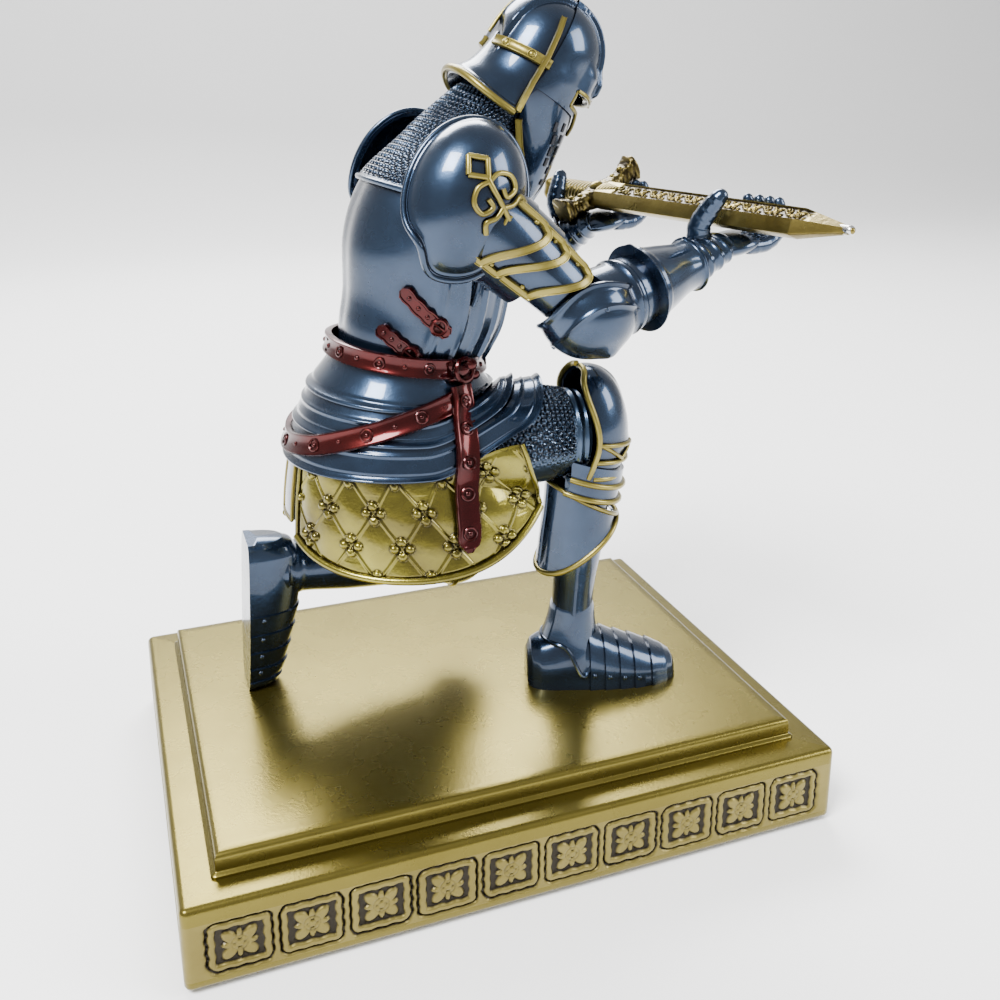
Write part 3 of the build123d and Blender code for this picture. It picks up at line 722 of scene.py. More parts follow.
# Rows of the knee cop: forward and up from the knee, lean, half forward, half side.
KNEE_ROWS = [
    (-2.2, 17.0, -0.25, 0.8, 0.8), (-1.6, 15.8, -0.25, 4.2, 4.6), (-0.9, 12.0, -0.22, 7.6, 8.2),
    (-0.2, 7.0, -0.15, 9.6, 10.2), (0.2, 1.0, -0.05, 10.5, 11.2), (0.0, -4.5, 0.05, 10.0, 10.8),
    (-0.6, -9.5, 0.1, 8.6, 9.8)
]
THIGH_ROWS = [
    (0, 13.2, 12.7), (0.25, 13.4, 12.6), (0.5, 13.0, 12.2), (0.72, 12.0, 11.2), (0.88, 11.0, 10.2),
    (1.0, 9.4, 9.0)
]
LEFT_SHIN_ROWS = [(-0.04, 7.4, 6.8), (0.12, 6.6, 6.2), (0.4, 7.6, 7.2), (0.7, 7.8, 7.7), (0.95, 7.0, 7.0)]


def cop_reach(w):
    """How far round the knee cop reaches at share w of its height."""
    return 104 - 26 * smooth(0.25, 0.0, w) + 6 * np.sin(w * 7)


def build_right_leg():
    """Shin with its ankle guard, calf plates, knee cop, gold edges and thigh of the raised leg."""
    shin = limb(ANKLE_R, KNEE_R, SHIN_ROWS)
    u, v = around(61, 0, 1, 70)
    pile = Pile()
    crease = 0.5 * bell(wrapped(u), 9) + 0.35 * bell(wrapped(u - 250), 7)
    pile.solid(shin.at(u, v, crease))
    gaiter = Loft([(ANKLE_R + vec(x, y, z), UP, a, b) for x, y, z, a, b in GAITER_ROWS])
    turn = np.linspace(-180, 180, 97)[:-1]
    low = 0.50 + 0.42 * bell(np.abs(turn) - 86, 22) + 0.16 * bell(turn, 40)
    w = np.linspace(0, 1, 24)[:, None]
    v = 0.04 + (low - 0.04) * w
    uu = np.broadcast_to(turn, v.shape)
    pile.shell(
        gaiter.at(uu, v, 0.3 * smooth(0, 0.2, w) + 0 * v), gaiter.at(uu, v, -0.6 + 0 * v), wrap=True
    )
    pile.rope(gaiter.at(turn, low, 0.35), 0.5, closed=True, seg=8)
    pile.done("right_shin_plate", BLUE, nodes=["right_greave"])

    axis = unit(KNEE_R - ANKLE_R)
    leg = Loft([(KNEE_R + (ANKLE_R - KNEE_R) * t, axis, a, b) for t, a, b in CALF_ROWS])
    pile, gold = Pile(), Pile()

    def band(top, bottom, grow, u_from=-180, u_to=180, trim_top=False):
        u = np.linspace(u_from, u_to, 81)
        front = (1 + np.cos(np.radians(u))) / 2
        hi, lo = top(front), bottom(front)
        w = np.linspace(0, 1, 18)[:, None]
        v = lo + (np.maximum(hi, lo + 0.012) - lo) * w
        uu = np.broadcast_to(u, v.shape)
        outer = leg.at(uu, v, grow + 0.35 * bell(w, 0.18) + 0 * v)
        inner = leg.at(uu, v, grow - 1.0 + 0 * v)
        pile.shell(outer, inner)
        gold.rope(leg.at(u, lo, grow + 0.25), 0.78, seg=9)
        if trim_top:
            gold.rope(leg.at(u, np.maximum(hi, lo + 0.012), grow + 0.2), 0.62, seg=9)

    band(lambda f: 0.72 - 0.30 * f, lambda f: 0.03 + 0.40 * f, 0.6, trim_top=True)
    band(lambda f: 0.84 - 0.18 * f, lambda f: 0.70 - 0.14 * f, 1.0, -140, 140)
    band(lambda f: 0.98 - 0.16 * f, lambda f: 0.84 - 0.14 * f, 1.6, -130, 130)
    pile.done("right_calf_plates", BLUE, nodes=["right_greave_flare"])

    cop = Loft([(KNEE_R + vec(x, 0, z), (lean, 0, 1), a, b) for x, z, lean, a, b in KNEE_ROWS])
    knee = Pile()
    w = np.linspace(0, 1, 46)[:, None]
    u = np.linspace(-1, 1, 61)[None] * cop_reach(w)
    v = np.broadcast_to(w, u.shape)
    medial = 0.7 * bell(u, 7) * smooth(0.1, 0.4, v) + 0.35 * bell(v - 0.74, 0.03)
    knee.shell(cop.at(u, v, medial), cop.at(u, v, -1.1 + 0 * v))
    knee.done("right_knee_cop", BLUE, nodes=["right_poleyn"])
    edge = np.linspace(0.02, 0.98, 34)
    for sgn in (-1, 1):
        gold.rope(cop.at(sgn * cop_reach(edge), edge, 0.35), 0.75, seg=9)
        for v0, v1, r in ((0.70, 0.76, 0.62), (0.84, 0.86, 0.62)):
            uu = np.linspace(100, 18, 26)
            gold.rope(cop.at(sgn * uu, np.linspace(v0, v1, 26), 0.45), r, seg=8)
        leaf = np.linspace(0, 1, 14)
        gold.rope(cop.at(sgn * (96 - 40 * leaf), 0.70 + 0.14 * leaf, 0.4), 0.55, seg=8)
        gold.rope(cop.at(sgn * (60 - 30 * leaf), 0.84 - 0.10 * leaf, 0.4), 0.5, seg=8)
    gold.rope(cop.at(np.linspace(-100, 100, 60), 0.985, 0.3), 0.75, seg=9)
    gold.done("right_leg_trim", TRIM, sharp=60)

    thigh(HIP_R, KNEE_R, "right_thigh_mail", ["right_cuisse"], up=UP)


def thigh(hip, knee, name, nodes, up):
    """Mail over the thigh with plain folds towards the knee."""
    axis = unit(knee - hip)
    loft = Loft(
        [(hip + (knee - hip) * 0.96 * t, axis, a, b) for t, a, b in THIGH_ROWS], forward=tuple(up)
    )
    u, v = around(301, 0, 1, 200)
    length = np.linalg.norm(knee - hip)
    rings = mail(np.radians(u) * 12.0, v * length, 1.5)
    region = smooth(0.20, 0.30, v) * smooth(0.84, 0.80, v) * smooth(118, 92, np.abs(wrapped(u)))
    folds = 0.7 * bell(v - 0.86, 0.014) + 0.6 * bell(v - 0.93, 0.012) + 0.45 * smooth(0.86, 0.88, v)
    out = rings * 0.62 * region + folds
    pile = Pile()
    pile.solid(loft.at(u, v, out))
    pile.relief[0] = ((1 - rings) * region).ravel()
    pile.done(name, MAIL, nodes=nodes, sharp=60)


def build_left_leg():
    """Shin, knee cop and thigh of the kneeling leg."""
    loft = limb(ANKLE_L + vec(-3, 0, -1), KNEE_L, LEFT_SHIN_ROWS, (0, 0, 1))
    u, v = around(61, 0, 1, 60)
    out = 0.45 * bell(v - 0.1, 0.02) + 0.45 * bell(v - 0.2, 0.02) + 0.4 * bell(v - 0.85, 0.02)
    pile = Pile()
    pile.solid(loft.at(u, v, out))
    pile.done("left_shin_plate", BLUE, nodes=["left_greave"])
    knee = Pile()
    centre = KNEE_L + vec(0.9, 0, -0.4)

    def ridges(d):
        return 1 + 0.05 * bell(d[..., 1], 0.12) + 0.02 * bell(d[..., 2] - 0.3, 0.06)

    knee.ball(centre, (10.2, 10.0, 9.6), bump=ridges, rows=30, cols=44)
    knee.done("left_knee_cop", BLUE, nodes=["left_poleyn"])
    gold = Pile()
    turn = np.linspace(0, 2 * np.pi, 40, endpoint=False)
    hoop = np.column_stack([0 * turn - 1.5, 10.0 * np.cos(turn), 9.6 * np.sin(turn)])
    gold.rope(centre + hoop, 0.7, closed=True)
    gold.done("left_knee_trim", TRIM)
    thigh(HIP_L, KNEE_L + vec(-1, 0, 5), "left_thigh_mail", ["left_cuisse"], up=vec(1, 0, 0))


# ---------------------------------------------------------------- cuirass
LEAN = (0.2, 0, 1)
TORSO = Loft([
    (CHEST + vec(-6.8, -0.4, -28.5), LEAN, 17.4, 19.2),
    (CHEST + vec(-5.9, 0, -25.5), LEAN, 16.9, 18.4),
    (CHEST + vec(-3.4, 0, -19.0), LEAN, 18.9, 19.3),
    (CHEST + vec(-1.2, 0, -12.0), LEAN, 20.0, 20.1),
    (CHEST + vec(0, 0, 0), LEAN, 20.7, 22.0),
    (CHEST + vec(1.2, 0, 9.5), LEAN, 19.2, 22.4),
    (CHEST + vec(2.4, 0, 16.5), LEAN, 16.4, 20.6),
    (CHEST + vec(4.0, 0, 21.0), LEAN, 12.0, 16.0),
])


def build_cuirass():
    """Backplate, and breastplate with flutes and three ribs at each arm."""
    u, v = grid(96, 264, 150, 0, 0.97, 120)
    side = np.abs(u - 180)
    back = (
        0.55 * bell(side - 82, 3.5) + 0.8 * bell(v - 0.03, 0.02) + 0.4 * bell(v - 0.085, 0.012)
        - 0.5 * bell(side, 9) * smooth(0.1, 0.3, v)
    )
    back += 0.5 * bell(v - 0.955, 0.012)
    plate = Pile()
    plate.shell(TORSO.at(u, v, back), TORSO.at(u, v, -1.6 + 0 * v))
    plate.done("backplate_shell", BLUE, nodes=["backplate"])

    u, v = grid(-98, 98, 220, 0.0, 0.97, 140)
    a = np.abs(u)
    flutes = np.zeros_like(u)
    for centre in (34, 48, 62, 76):
        flutes += 0.75 * bell(a - centre - 6 * v, 1.6)
    flutes *= smooth(0.75, 0.6, v)
    front = (
        flutes + 0.9 * bell(u, 5) + 0.5 * bell(a - 95, 2.5) + 0.8 * bell(v - 0.03, 0.02)
        + 0.35 * bell(v - 0.62, 0.012)
    )
    plate = Pile()
    plate.shell(TORSO.at(u, v, front), TORSO.at(u, v, -1.6 + 0 * v))
    for k, (r, grow) in enumerate(((0.0, 0.7), (7.5, 0.6), (14.5, 0.55))):
        for sgn in (-1, 1):
            q = np.linspace(0, 1, 40)
            uu = sgn * (118 - r * 1.2 - 46 * np.sin(q * math.pi * 0.62))
            vv = 0.93 - (0.46 - r * 0.006) * q
            plate.rope(TORSO.at(uu, vv, 0.2), grow, seg=9)
    plate.done("breastplate_shell", BLUE, nodes=["breastplate"])


def skirt_rows(table):
    """Hoops from the belt down: forward and up from the hips, half depth, half width, lean."""
    return [
        (vec(HIPS[0] + dx, HIPS[1], HIPS[2] + dz), (lean, 0, 1), a, b) for dx, dz, a, b, lean in table
    ]


SKIRT = Loft(
    skirt_rows(
        [
            (-0.2, 22.5, 17.4, 19.0, 0.15), (-0.4, 17.0, 18.6, 19.9, 0.15), (-1.8, 10.4, 21.8, 22.4, 0.1),
            (-1.2, 3.2, 25.8, 25.4, 0.05), (0.0, -4.5, 29.8, 27.6, 0.0)
        ]
    )
)
TASSET_ROWS = [
    (0.6, 11.0, 26.6, 22.8, 0.0), (2.0, 2.0, 29.8, 24.6, 0.0), (3.0, -4.5, 31.9, 26.7, 0.0),
    (5.0, -14.0, 35.2, 29.6, 0.0), (5.6, -26.5, 36.6, 32.0, 0.0)
]
TASSET = Loft(skirt_rows(TASSET_ROWS))
TASSET_HEIGHTS = [row[1] for row in TASSET_ROWS]


def tasset_v(height):
    """Loft coordinate for a height above the hips' centre."""
    return np.interp(-np.asarray(height, float), -np.array(TASSET_HEIGHTS), np.linspace(0, 1, 5))


def off_thigh(points, need, weight):
    """Moves points out to at least the given distance from the raised thigh's axis."""
    axis = unit(KNEE_R - HIP_R)
    rel = points - HIP_R
    radial = rel - (rel @ axis)[..., None] * axis
    r = np.linalg.norm(radial, axis=-1)
    return points + unit(radial) * (np.maximum(need - r, 0) * weight)[..., None]


def beside_thigh(points, need, weight):
    """Moves points sideways, away from the figure, until they clear the raised thigh."""
    axis = unit(KNEE_R - HIP_R)
    rel = points - HIP_R
    radial = rel - (rel @ axis)[..., None] * axis
    above = radial[..., 0] ** 2 + radial[..., 2] ** 2
    edge = -np.sqrt(np.maximum(need**2 - above, 0))
    shift = np.minimum(edge - radial[..., 1], 0) * weight * (above < need**2)
    return points + shift[..., None] * vec(0, 1, 0)


def drape(points, u, v, need):
    """Lifts the front of the skirt over the raised thigh."""
    front = smooth(-94, -58, u) * smooth(26, -6, u)
    k = (front * v**2)[..., None]
    return off_thigh(points + k * vec(5.0, -1.5, 8.5), need, front * smooth(0.3, 0.6, v))


def front_lift(u):
    """The skirt's rim rises where it passes over the thighs."""
    return np.maximum(np.cos(np.radians(u)), 0) ** 1.6


def build_skirt():
    """Three overlapping hoops that rise over the raised thigh."""
    spans = [
        ("fauld_upper", "fauld_lame_upper", 0.20, 0.50),
        ("fauld_middle", "fauld_lame_middle", 0.47, 0.745),
        ("fauld_lower", "fauld_lame_lower", 0.72, 0.965)
    ]
    for index, (name, node, v0, v1) in enumerate(spans):
        u, w = grid(-180, 180, 181, 0, 1, 34)
        v = v0 + (v1 - v0 - 0.09 * front_lift(u)) * w
        out = 0.25 + 0.75 * w**1.4 + 0.45 * bell(w - 0.95, 0.05) - 0.25 * bell(w - 0.8, 0.05)
        if index == 1:
            out += 0.5 * bell(w - 0.42, 0.06)
        if index == 2:
            out += 0.35 * bell(w - 0.3, 0.05)
        pile = Pile()
        u, v, w, out = u[:, :-1], v[:, :-1], w[:, :-1], out[:, :-1]
        outer = drape(SKIRT.at(u, v, out), u, v, 14.6 + out - 0.4 * index)
        inner = drape(SKIRT.at(u, v, -1.6 + 0 * v), u, v, 13.6 - 0.4 * index)
        pile.shell(outer, inner, wrap=True)
        pile.done(name, BLUE, nodes=[node], sharp=50)


def quilt(x, y):
    """Height and darkening of the diamond quilting with its bead clusters."""
    px, py = 11.8, 15.8
    a, b = x / px + y / py, x / px - y / py
    ridge = np.maximum(bell(a - np.round(a), 0.032), bell(b - np.round(b), 0.032))
    puff = 0.55 * np.abs(np.sin(np.pi * a) * np.sin(np.pi * b)) ** 0.7
    beads = np.zeros_like(x)
    ring = np.zeros_like(x)
    gx, gy = px / 2, py / 2
    i, j = np.round(x / gx), np.round(y / gy)
    i = np.where((i + j) % 2 == 0, i, i + np.sign(x / gx - i + 1e-9))
    for dx, dy in ((1.7, 0), (-1.7, 0), (0, 1.7), (0, -1.7)):
        d = np.hypot(x - i * gx - dx, y - j * gy - dy)
        beads = np.maximum(beads, np.sqrt(np.clip(1 - (d / 1.12) ** 2, 0, 1)))
        ring = np.maximum(ring, bell(d - 1.3, 0.25))
    near = bell(np.hypot(x - i * gx, y - j * gy), 3.0)
    height = puff * (1 - 0.5 * near) + 0.38 * ridge + 1.15 * beads
    return height, 0.7 * ring * (1 - beads) + 0.25 * bell(ridge - 0.4, 0.2)


def build_tassets():
    """Two quilted skirt plates and the small plain one between them."""
    for side, sgn in (("right", -1), ("left", 1)):
        a = np.linspace(166, 54, 440)[None]
        w = np.linspace(0, 1, 190)[:, None]
        low = -26.3 + 5.8 * np.clip((a - 115) / 51, 0, 1) ** 2 + 11.5 * np.clip((112 - a) / 58, 0, 1) ** 2
        top = -0.5 + 3.5 * smooth(96, 54, a) * (sgn < 0)
        v = tasset_v(top + (low - top) * w)
        u = sgn * np.broadcast_to(a, v.shape)
        base, normal = TASSET.spot(u, v)
        if sgn < 0:
            base = beside_thigh(base, 15.4, smooth(104, 82, a) + 0 * v)
        x = np.concatenate(
            [[0], np.cumsum(np.linalg.norm(np.diff(base[95], axis=0), axis=1))]
        )[None] + 0 * v
        y = base[..., 2] - HIPS[2] + 19.0
        height, dark = quilt(x - 29.0, y)
        edge = np.minimum(np.minimum(w, 1 - w) * 24, np.minimum(x, x[:, -1:] - x))
        height = height * smooth(0.6, 1.8, edge)
        pile = Pile()
        pile.shell(base + normal * (height - 0.1)[..., None], base - normal * 1.4, relief=dark)
        raised = base + normal * 0.2
        rim = [raised[-1], raised[::-1, 0], raised[:, -1]]
        pile.rope(rim[0][::6], 0.95, seg=10)
        pile.rope(rim[1][::6], 0.5, seg=8)
        pile.rope(rim[2][::6], 0.6, seg=8)
        pile.done(f"{side}_quilted_tasset", GILT, nodes=[f"{side}_tasset"], sharp=60)
    u, w = grid(171, 189, 22, 0, 1, 30)
    v = 0.28 + 0.55 * w
    pile = Pile()
    pile.shell(TASSET.at(u, v, 0.4 + 0 * v), TASSET.at(u, v, -0.9 + 0 * v))
    pile.done("rear_skirt_plate", BLUE, nodes=["rear_tasset"])
    gold = Pile()
    for a in (171, 189):
        gold.rope(TASSET.at(a, np.linspace(0.3, 0.83, 20), 0.35), 0.5, seg=8)
    gold.rope(TASSET.at(np.linspace(171, 189, 12), 0.83, 0.35), 0.5, seg=8)
    gold.done("rear_skirt_trim", TRIM)


def build_straps():
    """Waist belt with its knot and hanging end, slanted belt and side straps."""
    belt, studs = Pile(), Pile()
    turn = np.linspace(-180, 180, 160, endpoint=False)
    v = 0.115 + 0 * turn
    p, n = SKIRT.spot(turn, v)
    closed_p, closed_n = np.vstack([p, p[:2]]), np.vstack([n, n[:2]])
    belt.strap(closed_p + closed_n * 0.7, closed_n, 4.7, 1.0)
    for k, a in enumerate(np.arange(-175, 180, 17.0)):
        q, m = SKIRT.spot(a, 0.115)
        belt.stud(q + m * 1.7, m, 0.62)
        if k % 2:
            belt.ring(q + m * 1.75, m, 1.15, 0.26)
    knot_p, knot_n = SKIRT.spot(-66.0, 0.12)
    for dx, dz, r in (
        (0, 0, 2.6), (2.4, 1.0, 1.9), (-2.2, 1.2, 1.9), (1.2, -2.2, 2.0), (-1.5, -1.8, 1.8),
        (3.4, -1.4, 1.5)
    ):
        belt.ball(knot_p + knot_n * 1.6 + vec(dx, 0, dz), (r, r * 0.75, r * 0.85), rows=10, cols=16)
    belt.ring(knot_p + knot_n * 3.2, knot_n, 2.7, 0.55)
    belt.done("studded_waist_belt", MAROON, nodes=["waist_belt"], sharp=50)

    tail = Pile()
    x_line = mid("belt_tail")[0]
    lower = low_high("belt_tail")[0]
    heights = np.linspace(HIPS[2] + 15.5, lower[2] + 0.3, 60)
    pts, nrm = [], []
    for k, z in enumerate(heights):
        x = x_line + 1.4 * (1 - k / 59)
        loft = SKIRT if z > HIPS[2] - 3.0 else TASSET
        best = closest_on(loft, x, z, near=-1)
        pts.append(best[0])
        nrm.append(best[1])
    pts, nrm = smooth_path(np.array(pts), 7), unit(smooth_path(np.array(nrm), 9))
    width = np.full(60, 5.6)
    width[-5:] = [5.4, 5.0, 4.2, 3.0, 1.4]
    reach = 1.9 + 1.0 * bell(np.linspace(0, 1, 60) - 0.38, 0.22)
    pts = pts + nrm * reach[:, None]
    tail.strap(pts, nrm, width, 0.9)
    for k in (6, 16, 27, 38, 52):
        tail.stud(pts[k] + nrm[k] * 0.85, nrm[k], 0.7)
        tail.ring(pts[k] + nrm[k] * 0.95, nrm[k], 1.4, 0.34)
    tail.done("belt_hanging_end", MAROON, nodes=["belt_tail"], sharp=50)

    hip = Pile()
    angle = np.linspace(-72, -360 + 20, 150)
    height = np.interp(
        angle, [-340, -290, -230, -180, -150, -120, -95, -72],
        [0.50, 0.66, 0.82, 0.865, 0.80, 0.66, 0.53, 0.41]
    )
    p, n = SKIRT.spot(angle, height)
    p, n = smooth_path(p, 11), unit(smooth_path(n, 5))
    hip.strap(p + n * 1.2, n, 5.0, 0.9)
    for k in range(4, 150, 8):
        hip.stud(p[k] + n[k] * 2.1, n[k], 0.55)
        if (k // 8) % 2:
            hip.ring(p[k] + n[k] * 2.15, n[k], 1.35, 0.3)
    hip.done("slanted_hip_belt", MAROON, nodes=["hip_belt"], sharp=50)

    buckles = Pile()
    for a0, v0, a1, v1 in ((-122, 0.49, -88, 0.36), (-134, 0.33, -100, 0.21)):
        q = np.linspace(0, 1, 34)
        aa, vv = a0 + (a1 - a0) * q, v0 + (v1 - v0) * q
        p, n = TORSO.spot(aa, vv)
        width = 3.1 + 0.7 * np.abs(np.sin(q * math.pi * 4.5)) + 1.0 * bell(q - 0.78, 0.1)
        width[0], width[1], width[-1], width[-2] = 1.2, 2.4, 1.2, 2.6
        buckles.strap(p + n * 0.5, n, width, 0.8, rim=0.35)
        for k in (5, 11, 17):
            buckles.stud(p[k] + n[k] * 1.4, n[k], 0.55)
        buckles.ring(p[25] + n[25] * 1.5, n[25], 1.7, 0.45)
        buckles.rope([p[20] + n[20] * 1.6, p[25] + n[25] * 1.9, p[29] + n[29] * 1.6], 0.32, seg=7)
    buckles.done("side_strap_buckles", MAROON, nodes=["side_straps"], sharp=50)


def smooth_path(points, width):
    """Moving average that keeps the ends."""
    half = width // 2
    padded = np.pad(points, ((half, half), (0, 0)), mode="edge")
    out = np.stack([padded[i : i + len(points)] for i in range(width)]).mean(0)
    out[0], out[-1] = points[0], points[-1]
    return out


def closest_on(loft, x, z, near):
    """Point and normal on the near side of a loft at a given x and z."""
    v = np.linspace(0, 1, 120)
    a = np.linspace(near * 40, near * 150, 90)
    uu, vv = np.meshgrid(a, v)
    p, n = loft.spot(uu, vv)
    d = (p[..., 0] - x) ** 2 + (p[..., 2] - z) ** 2
    k = np.unravel_index(np.argmin(d), d.shape)
    return p[k], n[k]


# ---------------------------------------------------------------- mail collar and helmet
PITCH = math.radians(32.0)
FACE = vec(math.cos(PITCH), 0, -math.sin(PITCH))
CROWN = vec(math.sin(PITCH), 0, math.cos(PITCH))


def head_at(f, side, u):
    """Point in the helmet's own frame: towards the face, to the left, towards the crown."""
    return HEAD + FACE * f + vec(0, side, 0) + CROWN * u


def build_collar():
    """Mail cape from the shoulders up into the helmet."""
    loft = Loft([
        (CHEST + vec(4.9, 0, 11.3), (0.3, 0, 1), 22.0, 24.6),
        (CHEST + vec(6.0, 0, 15.6), (0.3, 0, 1), 19.6, 22.4),
        (CHEST + vec(7.4, 0, 21.0), (0.36, 0, 1), 15.2, 17.6),
        (CHEST + vec(9.8, 0, 27.0), (0.42, 0, 1), 11.8, 12.8),
        (CHEST + vec(13.6, 0, 31.0), (0.5, 0, 1), 10.6, 11.0),
        (head_at(-2.0, 1, -6), CROWN, 10.2, 10.2),
        (head_at(-1.0, 1, -2), CROWN, 9.4, 9.4),
    ])
    u, v = around(561, 0, 1, 250)
    turn = np.radians(u)
    rings = mail(turn * 15.5, v * 44, 1.38)
    hem = smooth(0.07, 0.085, v)
    out = rings * 0.42 * hem + (1 - hem) * (0.3 + 0.6 * np.sin(np.clip(v / 0.07, 0, 1) * math.pi))
    pile = Pile()
    pile.solid(loft.at(u, v, out))
    pile.relief[0] = ((1 - rings) * hem).ravel()
    pile.done("mail_aventail", MAIL, nodes=["mail_collar"], sharp=60)


def helmet_loft(table):
    """Loft through rows of (forward, height, half depth, half width) in the helmet's frame."""
    return Loft([(head_at(f, 0, u), CROWN, a, b) for f, u, a, b in table], forward=tuple(FACE))


# Rows of the helmet from the crown down: forward, height, half depth, half width.
BOWL = [
    (0.2, 20.1, 0.5, 0.5), (0.2, 19.7, 3.4, 3.3), (0.2, 18.3, 6.8, 6.6), (0.2, 16.2, 9.3, 9.1),
    (0.2, 13.2, 11.4, 11.1), (0.2, 9.5, 12.6, 12.3), (0.1, 5.0, 13.0, 12.7)
]
SKULL_ROWS = BOWL + [
    (-0.2, 1.0, 13.2, 13.0), (-1.0, -3.0, 13.6, 13.1), (-2.2, -6.0, 14.4, 13.4), (-3.1, -9.0, 15.6, 14.0),
    (-3.7, -11.5, 16.6, 14.6)
]
VISOR_ROWS = BOWL + [
    (0.2, 1.0, 13.3, 13.0), (0.6, -4.0, 13.4, 12.6), (3.2, -10.0, 11.7, 11.2), (6.4, -16.0, 9.2, 9.0),
    (9.2, -20.0, 6.8, 6.8), (12.0, -24.0, 3.8, 3.6)
]
SKULL, VISOR = helmet_loft(SKULL_ROWS), helmet_loft(VISOR_ROWS)
SKULL_U = [row[1] for row in SKULL_ROWS]
VISOR_U = [row[1] for row in VISOR_ROWS]
TEMPLE = 92.0
# Gold edges of the eye slit: angle and height at each end, and how far out they stand at the face.
SLIT_EDGES = [
    (54, 2.1, 0, 2.1, 2.1), (54, 2.1, 55, -1.7, 0.6), (55, -1.7, 38, -1.9, 0.6), (38, -1.9, 10, -6.2, 0.6)
]


def skull_v(height):
    """Loft coordinate of the skull for a height in the helmet's frame."""
    return np.interp(-np.asarray(height, float), -np.array(SKULL_U), np.linspace(0, 1, len(SKULL_U)))


def visor_v(height):
    """Loft coordinate of the visor for a height in the helmet's frame."""
    return np.interp(-np.asarray(height, float), -np.array(VISOR_U), np.linspace(0, 1, len(VISOR_U)))


def visor_reach(height):
    """How far round from the face the visor and the bevor reach."""
    drops = [-20.2, -5, 0, 4, 8.5, 10.9, 15.2, 18.5, 21.5, 24.0]
    return np.interp(-height, drops, [98, 98, 99, 102, 110, 113, 109, 104, 98, 85])


def comb(points):
    """Raised band over the crown, from its distance to the midline."""
    y = np.abs(points[..., 1] - HEAD[1])
    return 1.25 * smooth(6.0, 5.4, y) + 0.4 * bell(y, 0.8)


def build_skull():
    """Back shell of the helmet, from temple to temple."""
    u, w = grid(TEMPLE, 360 - TEMPLE, 150, 0.0, 1, 150)
    tail = np.cos(np.radians(u - 180)) ** 2
    end = skull_v(-10.7 + 2.7 * tail)
    v = end * w
    base, normal = SKULL.spot(u, v)
    out = comb(base) * smooth(1.0, 0.93, w) * smooth(0.62, 0.5, w * tail) + 0.5 * bell(w - 0.97, 0.015)
    pile = Pile()
    pile.shell(base + normal * out[..., None], base - normal * 1.2)
    pile.done("helmet_skull_shell", BLUE, nodes=["helmet_skull"], sharp=50)


def build_face_plates():
    """Visor and bevor; the eye slit and the notch under it are left open."""
    plates = (
        ("helmet_visor_shell", "helmet_visor", 20.1, -3.2, 0.55),
        ("helmet_bevor_shell", "helmet_bevor", -2.6, -24.0, 0.0)
    )
    for name, node, top, bottom, lift in plates:
        hu = np.linspace(top, bottom, 150)[:, None]
        a = np.linspace(-1, 1, 221)[None] * visor_reach(hu)
        v = visor_v(hu) + 0 * a
        base, normal = VISOR.spot(a, v)
        out = lift + 0.9 * bell(a, 9) * smooth(2, -4, hu)
        if node == "helmet_visor":
            brow = smooth(10.5, 6.5, hu) * smooth(1.8, 2.6, hu) * smooth(60, 42, np.abs(a))
            out = out + comb(base) * smooth(2.5, 5.0, hu) + 1.5 * brow
        pile = Pile()
        slit = (np.abs(a) < 54) & (hu < 1.9) & (hu > -1.6)
        notch = (np.abs(a) < 10 + 30 * smooth(-7, -1.6, hu)) & (hu <= -1.6) & (hu > -6.0)
        keep = ~(slit | notch)[:-1, :-1]
        grown = base + normal * out[..., None]
        pile.sheet(grown, keep=keep)
        pile.sheet(base - normal * 0.9, keep=keep)
        pile.done(name, BLUE, nodes=[node], sharp=50)


# Breathing slots of the bevor: angle from the face and height.
SLOTS_AT = [
    (46, -6.4), (43, -8.9), (41, -11.4), (40, -13.9), (42, -16.4), (46, -19.4), (62, -7.6), (58, -10.1),
    (56, -12.6), (56, -15.1)
]


def build_openings():
    """Near-black painted shade: a filling behind the slit, and dark strips for the breathing slots."""
    holes = Pile()
    # Painted shade: a near-black ball stands in for the shaded inside of the helmet behind the eye slit.
    holes.ball(
        head_at(-0.5, 0, -1.5), (12.0, 11.8, 9.5), axes=np.stack([FACE, vec(0, 1, 0), CROWN]), rows=20,
        cols=30
    )
    # Painted shade: each breathing slot is a thin near-black strip on the bevor, not a cut opening.
    for sgn in (-1, 1):
        for ang, h in SLOTS_AT:
            vv = float(visor_v(h))
            dv = 0.014
            p = VISOR.at(
                sgn * np.array([ang, ang]), np.array([vv - dv, vv + dv]), 0.12 + 0.9 * float(bell(ang, 9))
            )
            _, n = VISOR.spot(sgn * ang, vv)
            holes.strap(np.linspace(p[0], p[1], 4), np.broadcast_to(n, (4, 3)), 1.0, 0.12, rim=0)
    holes.done("helmet_painted_shade_openings", SHADE_FILL)


